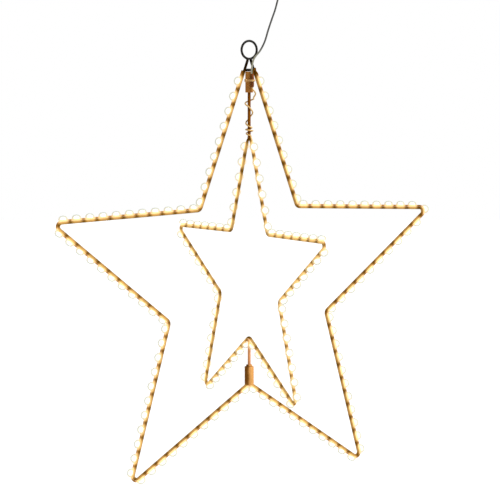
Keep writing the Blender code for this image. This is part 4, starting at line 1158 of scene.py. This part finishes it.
def make_ring():
    """The hanging ring, welded to the rod's two ends."""
    middle_radius = (RING_DIAMETER - RING_WIRE_DIAMETER) / 2
    points = [polar(middle_radius, 2 * math.pi * k / RING_STEPS) for k in range(RING_STEPS)]
    beads = [((end.x * RING_BEAD_REACH, 0.0, end.z + RING_BEAD_LIFT), *RING_BEAD) for end in OUTER.put(rod_ends())]
    tube_piece("hanging_ring", points, RING_WIRE_DIAMETER, ring_finish(), "outer_star", beads,
               closed=True, sides=RING_SIDES)


def make_crossbar():
    """The short bar between the large star's legs, welded to both."""
    leg_x = CROSSBAR_DROP * math.tan(OUTER.tip_half_angle)
    half_length = leg_x - ROD_RADIUS / math.cos(OUTER.tip_half_angle)
    ends = [Vector((side * half_length, 0.0, CROSSBAR_Z)) for side in (-1, 1)]
    beads = [((end.x * CROSSBAR_BEAD_REACH, 0.0, end.z), *CROSSBAR_BEAD) for end in ends]
    tube_piece("crossbar", evenly(ends, ROD_SPACING), ROD_DIAMETER, ring_finish(), "outer_star", beads)


def sleeve_profile(bore, diameter, foot, top, edge=SLEEVE_EDGE):
    inner, outer = bore / 2, diameter / 2
    return [(inner, foot + edge), (inner + edge / 2, foot + edge / 4), (inner + edge, foot), (outer - edge, foot),
            (outer - edge / 4, foot + edge / 4), (outer, foot + edge), (outer, top - edge),
            (outer - edge / 4, top - edge / 4), (outer - edge, top), (inner + edge, top),
            (inner + edge / 2, top - edge / 4), (inner, top - edge)]


def make_pivot():
    """Both sleeves, the collar, and the rod and pin that turn in them."""
    collar_z = BOTTOM_SLEEVE_TOP_Z + CLEARANCE
    for node, material, body, *sizes in (
            ("top_sleeve", lit_copper_finish(), "outer_star",
             BORE_DIAMETER, TOP_SLEEVE_DIAMETER, TOP_SLEEVE_FOOT_Z, TOP_SLEEVE_TOP_Z),
            ("bottom_sleeve", copper_finish(), "outer_star",
             BORE_DIAMETER, BOTTOM_SLEEVE_DIAMETER, BOTTOM_SLEEVE_FOOT_Z, BOTTOM_SLEEVE_TOP_Z),
            ("bottom_collar", copper_finish(), "inner_star",
             PIVOT_DIAMETER, COLLAR_DIAMETER, collar_z, collar_z + COLLAR_HEIGHT, COLLAR_EDGE)):
        piece(node, turned_into(bmesh.new(), sleeve_profile(*sizes)), material, body)
    for node, material, slot, weld_z, *ends in (
            ("top_rod", top_rod_finish(), "frame_paint", INNER_APEX_Z,
             INNER_APEX_Z - WELD_OVERLAP, TOP_SLEEVE_TOP_Z - TOP_ROD_END_DEPTH),
            ("bottom_pin", pin_copper_finish(), "sleeve_copper", INNER_BOTTOM_Z,
             BOTTOM_ROD_Z + ROD_RADIUS + CLEARANCE, INNER_BOTTOM_Z + WELD_OVERLAP)):
        tube_piece(node, evenly([up(z) for z in ends], ROD_SPACING), PIVOT_DIAMETER, material, "inner_star",
                   [((0.0, 0.0, weld_z), *PIVOT_BEAD)], sides=PIVOT_SIDES)


# ---- Light strings ----

def dome_into(mesh, profile_shares, crown_share, sides, lamp):
    """One dome from its profile, marked with its heights and with which of the two bodies it is."""
    level = mesh.verts.layers.float["lens_height"]
    body = mesh.verts.layers.float["lens_lamp"]
    rings = []
    for radius_share, height_share in profile_shares:
        ring = []
        for k in range(sides):
            angle = 2 * math.pi * (k + 1 / 2) / sides
            vert = mesh.verts.new(around(LIGHT_DIAMETER / 2 * radius_share, angle, LIGHT_HEIGHT * height_share))
            vert[level], vert[body] = height_share, lamp
            ring.append(vert)
        rings.append(ring)
    crown = mesh.verts.new(up(LIGHT_HEIGHT * crown_share))
    crown[level], crown[body] = crown_share, lamp
    mesh.faces.new(rings[0])
    skin_loops(mesh, rings, False)
    for k in range(sides):
        mesh.faces.new((rings[-1][k], rings[-1][(k + 1) % sides], crown))


def lens_object():
    """One lens: a clear domed cap with the bright lamp in it; Z points outwards and X along the rod."""
    mesh = bmesh.new()
    mesh.verts.layers.float.new("lens_height")
    mesh.verts.layers.float.new("lens_lamp")
    dome_into(mesh, CAP_PROFILE_SHARES, 1.0, LENS_SIDES, 0.0)
    dome_into(mesh, LAMP_PROFILE_SHARES, LAMP_CROWN_SHARE, LAMP_SIDES, 1.0)
    bmesh.ops.recalc_face_normals(mesh, faces=mesh.faces)
    return place_object("lens", mesh_data("lens", mesh))


def places_object(lights):
    """The lights' seats as loose points that carry their directions."""
    data = bpy.data.meshes.new("places")
    data.from_pydata([tuple(seat) for seat, _, _ in lights], [], [])
    for name, column in (("outward", 1), ("along", 2)):
        attribute = data.attributes.new(name, "FLOAT_VECTOR", "POINT")
        attribute.data.foreach_set("vector", [value for light in lights for value in light[column]])
    return place_object("places", data)


def side_step(half_bend, next_point, shift):
    """Half a bend moved forwards, and the way back into the star's plane."""
    forward = BACKWARDS * -shift
    leave = (next_point - half_bend[-1]).normalized()
    points = [point + forward for point in half_bend]
    for k in range(1, WRAP_STEPS + 1):
        share = k / WRAP_STEPS
        points.append(half_bend[-1] + leave * (PIN_DETOUR_LENGTH * share)
                      + forward * ((1 + math.cos(math.pi * share)) / 2))
    return points


def string_stretches(star, start, end, bottom_shift=0.0):
    """Clockwise, the cable's route in one stretch for each arm, and two for the top arm."""
    stretches = [start]
    for notch in range(1, 2 * ARM_COUNT, 2):
        bend = star.bend(notch, STRING_OFFSET)
        middle = len(bend) // 2
        before, after = bend[:middle + 1], bend[middle:]
        if notch == ARM_COUNT and bottom_shift:
            before = side_step(before[::-1], stretches[-1][-1], bottom_shift)[::-1]
            after = side_step(after, star.bend(notch + 1, STRING_OFFSET)[0], bottom_shift)
        stretches[-1] = stretches[-1] + before
        stretches.append(after)
        if notch < 2 * ARM_COUNT - 1:
            stretches[-1] = stretches[-1] + star.bend(notch + 1, STRING_OFFSET)
    stretches[-1] = stretches[-1] + end
    return stretches


def outer_feed():
    """The large star's cable from the joint's top, over the crossbar and round the right leg."""
    joint_top = Vector((STRING_IN_JOINT_X, JOINT_Y, JOINT_TOP_Z + RING_Z))
    rise = up(STRING_DIAMETER)
    round_leg = []
    for share in np.linspace(0.0, 1.0, WRAP_STEPS + 1):
        angle = math.pi / 2 * share
        point = OUTER.leg_point(STRING_END_FROM_APEX + LEG_WRAP_LENGTH * share, STRING_OFFSET * math.sin(angle), 1)
        round_leg.append(point - BACKWARDS * (STRING_OFFSET * math.cos(angle)))
    bend_over = (joint_top + rise * 2 + round_leg[0]) / 2 + Vector((0.0, -STRING_DIAMETER, STRING_DIAMETER * 2))
    return smooth_route([joint_top, joint_top + rise * 2, bend_over] + round_leg, CABLE_SPACING)


def make_strings():
    """Both light strings, one piece for each stretch."""
    lens = lens_object()
    outer = string_stretches(OUTER, outer_feed(), [OUTER.leg_point(STRING_END_FROM_APEX, STRING_OFFSET, -1)])
    ends = [INNER.leg_point(INNER_STRING_END_FROM_APEX, STRING_OFFSET, side) for side in (1, -1)]
    inner = string_stretches(INNER, ends[:1], ends[1:], PIN_ROOM + STRING_DIAMETER / 2)
    for prefix, star, size, stretches in (("outer", OUTER, "large", outer), ("inner", INNER, "small", inner)):
        for k, (name, points) in enumerate(zip(STRETCH_NAMES, stretches)):
            node = f"{prefix}_lights_{name}"
            places = places_object(star.arm_lights(k))
            line = line_mesh(evenly(star.put(points), CABLE_SPACING))
            mesh, materials = grow(f"{node}_line", line, light_string_tree(), {
                "Places": places, "Lens": lens, "Seed": LENS_SEED + k, "Cable Finish": cable_finish(size),
                "Cap Finish": cap_finish(), "Lamp Finish": lamp_finish()})
            bpy.data.objects.remove(places)
            piece(node, mesh, materials, f"{prefix}_star")
    bpy.data.objects.remove(lens)


def winding_share(turn):
    steps = len(WINDING_HEIGHT_SHARES) - 1
    position = min(max(turn / WINDING_TURNS, 0.0), 1.0) * steps
    k = min(int(position), steps - 1)
    return ease(*(WINDING_HEIGHT_SHARES[min(max(i, 0), steps)] for i in range(k - 1, k + 3)), position - k)


def make_lead():
    """The lead from the joint down into its loose winding round the top rod, in one piece."""
    foot_z = INNER_APEX_Z + WINDING_FOOT_GAP
    drop = up(STRING_DIAMETER)
    start = Vector((0.0, JOINT_Y, JOINT_FOOT_Z))
    top = around(WINDING_TOP_RADIUS, WINDING_TOP_ANGLE, WINDING_TOP_Z)
    lead = [start] + smooth_route([start - drop, *LEAD_ROUTE, top], STRING_DIAMETER / 2)
    base = PIVOT_DIAMETER / 2 + CLEARANCE + STRING_DIAMETER / 2
    route = [top, top - drop]
    steps = round(WINDING_TURNS * LOOP_STEPS / 2)
    for k in range(WINDING_LEAD_IN_STEPS, steps + 1):
        turn = WINDING_TURNS * k / steps
        share = winding_share(turn)
        radius = base + WINDING_BULGE * math.sin(math.pi * WINDING_BULGES * share) ** 2
        radius += (WINDING_TOP_RADIUS - base) * max(0.0, 1 - turn) ** 2
        angle = WINDING_TOP_ANGLE + 2 * math.pi * turn
        z = top.z - STRING_DIAMETER + (foot_z - top.z + STRING_DIAMETER) * share
        route.append(around(radius, angle, z))
    stop = INNER_STRING_END_FROM_APEX
    route += INNER.put([INNER.leg_point(stop - STRING_DIAMETER, STRING_OFFSET, 1),
                        INNER.leg_point(stop, STRING_OFFSET, 1)])
    points = lead[:-1] + smooth_route(route, STRING_DIAMETER / 2)
    obj = tube_piece("inner_lead", points, STRING_DIAMETER, lead_finish(), None, sides=LEAD_SIDES,
                     also=("lead_winding",))
    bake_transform(obj, "outer_star", "inner_star", (0.0, 0.0, JOINT_FOOT_Z), (0.0, 0.0, top.z - 0.015))


def shrink_wrinkle(angle, height):
    """How much more or less than its radius the shrink tube has, as a share of it."""
    reach, stretch = WRINKLE_LUMP_SCALE
    lump = WRINKLE_LUMP * noise.noise(around(reach, angle, height * stretch))
    return WRINKLE_WAVE * math.sin(2 * angle + height * WRINKLE_TWIST) + lump


def make_joint():
    """The shrunk tube over the joint of cord and strings, and the tie that holds it to the sleeve."""
    radius = JOINT_DIAMETER / 2
    profile = [(0.0, 0.0)]
    at_ends, more = SHRINK_RADII
    for level in np.linspace(0.0, 1.0, JOINT_STEPS + 1):
        pinch = at_ends + more * math.sqrt(math.sin(math.pi * level))
        profile.append((radius * pinch, JOINT_LENGTH * level))
    profile.append((0.0, JOINT_LENGTH))
    mesh = turned_into(bmesh.new(), profile, (0.0, JOINT_Y, JOINT_FOOT_Z), JOINT_SIDES, ripple=shrink_wrinkle)
    piece("cord_joint", mesh, shrink_finish(), "outer_star")
    circles = ((0.0, 0.0, TOP_SLEEVE_DIAMETER / 2), (0.0, JOINT_Y, radius))
    tie_z = (JOINT_TOP_Z + JOINT_FOOT_Z - JOINT_TIE_HEIGHT) / 2
    mesh = band_into(bmesh.new(), circles, JOINT_TIE_THICKNESS, JOINT_TIE_HEIGHT, (0.0, 0.0, tie_z))
    middle = tie_z + JOINT_TIE_HEIGHT / 2
    rounded_box_into(mesh, (*TIE_LOCK_LOW, middle - TIE_LOCK_HALF_HEIGHT),
                     (*TIE_LOCK_HIGH, middle + TIE_LOCK_HALF_HEIGHT), TIE_LOCK_CORNER, 2)
    piece("joint_tie", mesh, tie_finish(), "outer_star")


# ---- Inside of the power supply ----

def finish_hidden_nodes():
    """The circuit board and the transformer keep their solids and get their own finish."""
    for node, material in (("adapter_board", board_finish()), ("adapter_transformer", transformer_finish())):
        for material_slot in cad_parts[node].material_slots:
            material_slot.link = "OBJECT"
            material_slot.material = material


# ---- Floor, background and light ----

def white_seen(tree, plain, seen):
    """Mix two shaders: what the camera, glossy and clear surfaces see, and what lights the object."""
    path = put(tree, "ShaderNodeLightPath").outputs
    first = maths(tree, "MAXIMUM", path["Is Camera Ray"], path["Is Glossy Ray"])
    both = maths(tree, "MAXIMUM", first, path["Is Transmission Ray"])
    return put(tree, "ShaderNodeMixShader", {0: both, 1: plain, 2: seen})


def make_studio():
    scene = bpy.context.scene
    scene.view_settings.view_transform = "Standard"
    world = bpy.data.worlds.new("studio")
    scene.world = world
    world.use_nodes = True
    tree = world.node_tree
    tree.nodes.clear()
    dim, white = [put(tree, "ShaderNodeBackground", {"Color": (1.0, 1.0, 1.0), "Strength": strength})
                  for strength in (WORLD_STRENGTH, 1.0)]
    feed(tree, put(tree, "ShaderNodeOutputWorld"), {0: white_seen(tree, dim, white)})
    for name, azimuth, elevation, strength, softness in STUDIO_LAMPS:
        lamp = bpy.data.lights.new(name, "SUN")
        lamp.energy = strength
        lamp.angle = math.radians(softness)
        obj = place_object(name, lamp)
        obj.rotation_euler = seen_from(azimuth, elevation).to_track_quat("Z", "Y").to_euler()
    make_floor()


def make_floor():
    mesh = bmesh.new()
    bmesh.ops.create_circle(mesh, cap_ends=True, segments=96, radius=FLOOR_RADIUS,
                            matrix=Matrix.Translation(up(cad_box[0][2] - FLOOR_DROP)))
    data = mesh_data("floor", mesh)
    material, tree, shader = start_finish("pale floor", Roughness=0.9, Specular_IOR_Level=0.1,
                                          Base_Color=(0.92, 0.92, 0.92), Emission_Color=(0.30, 0.30, 0.30))
    feed(tree, shader, {"Emission Strength": put(tree, "ShaderNodeLightPath").outputs["Is Camera Ray"]})
    data.materials.append(material)
    place_object("floor", data)


make_camera()
make_cord()
make_rods()
make_ring()
make_crossbar()
make_pivot()
make_strings()
make_lead()
make_joint()
finish_hidden_nodes()
make_studio()
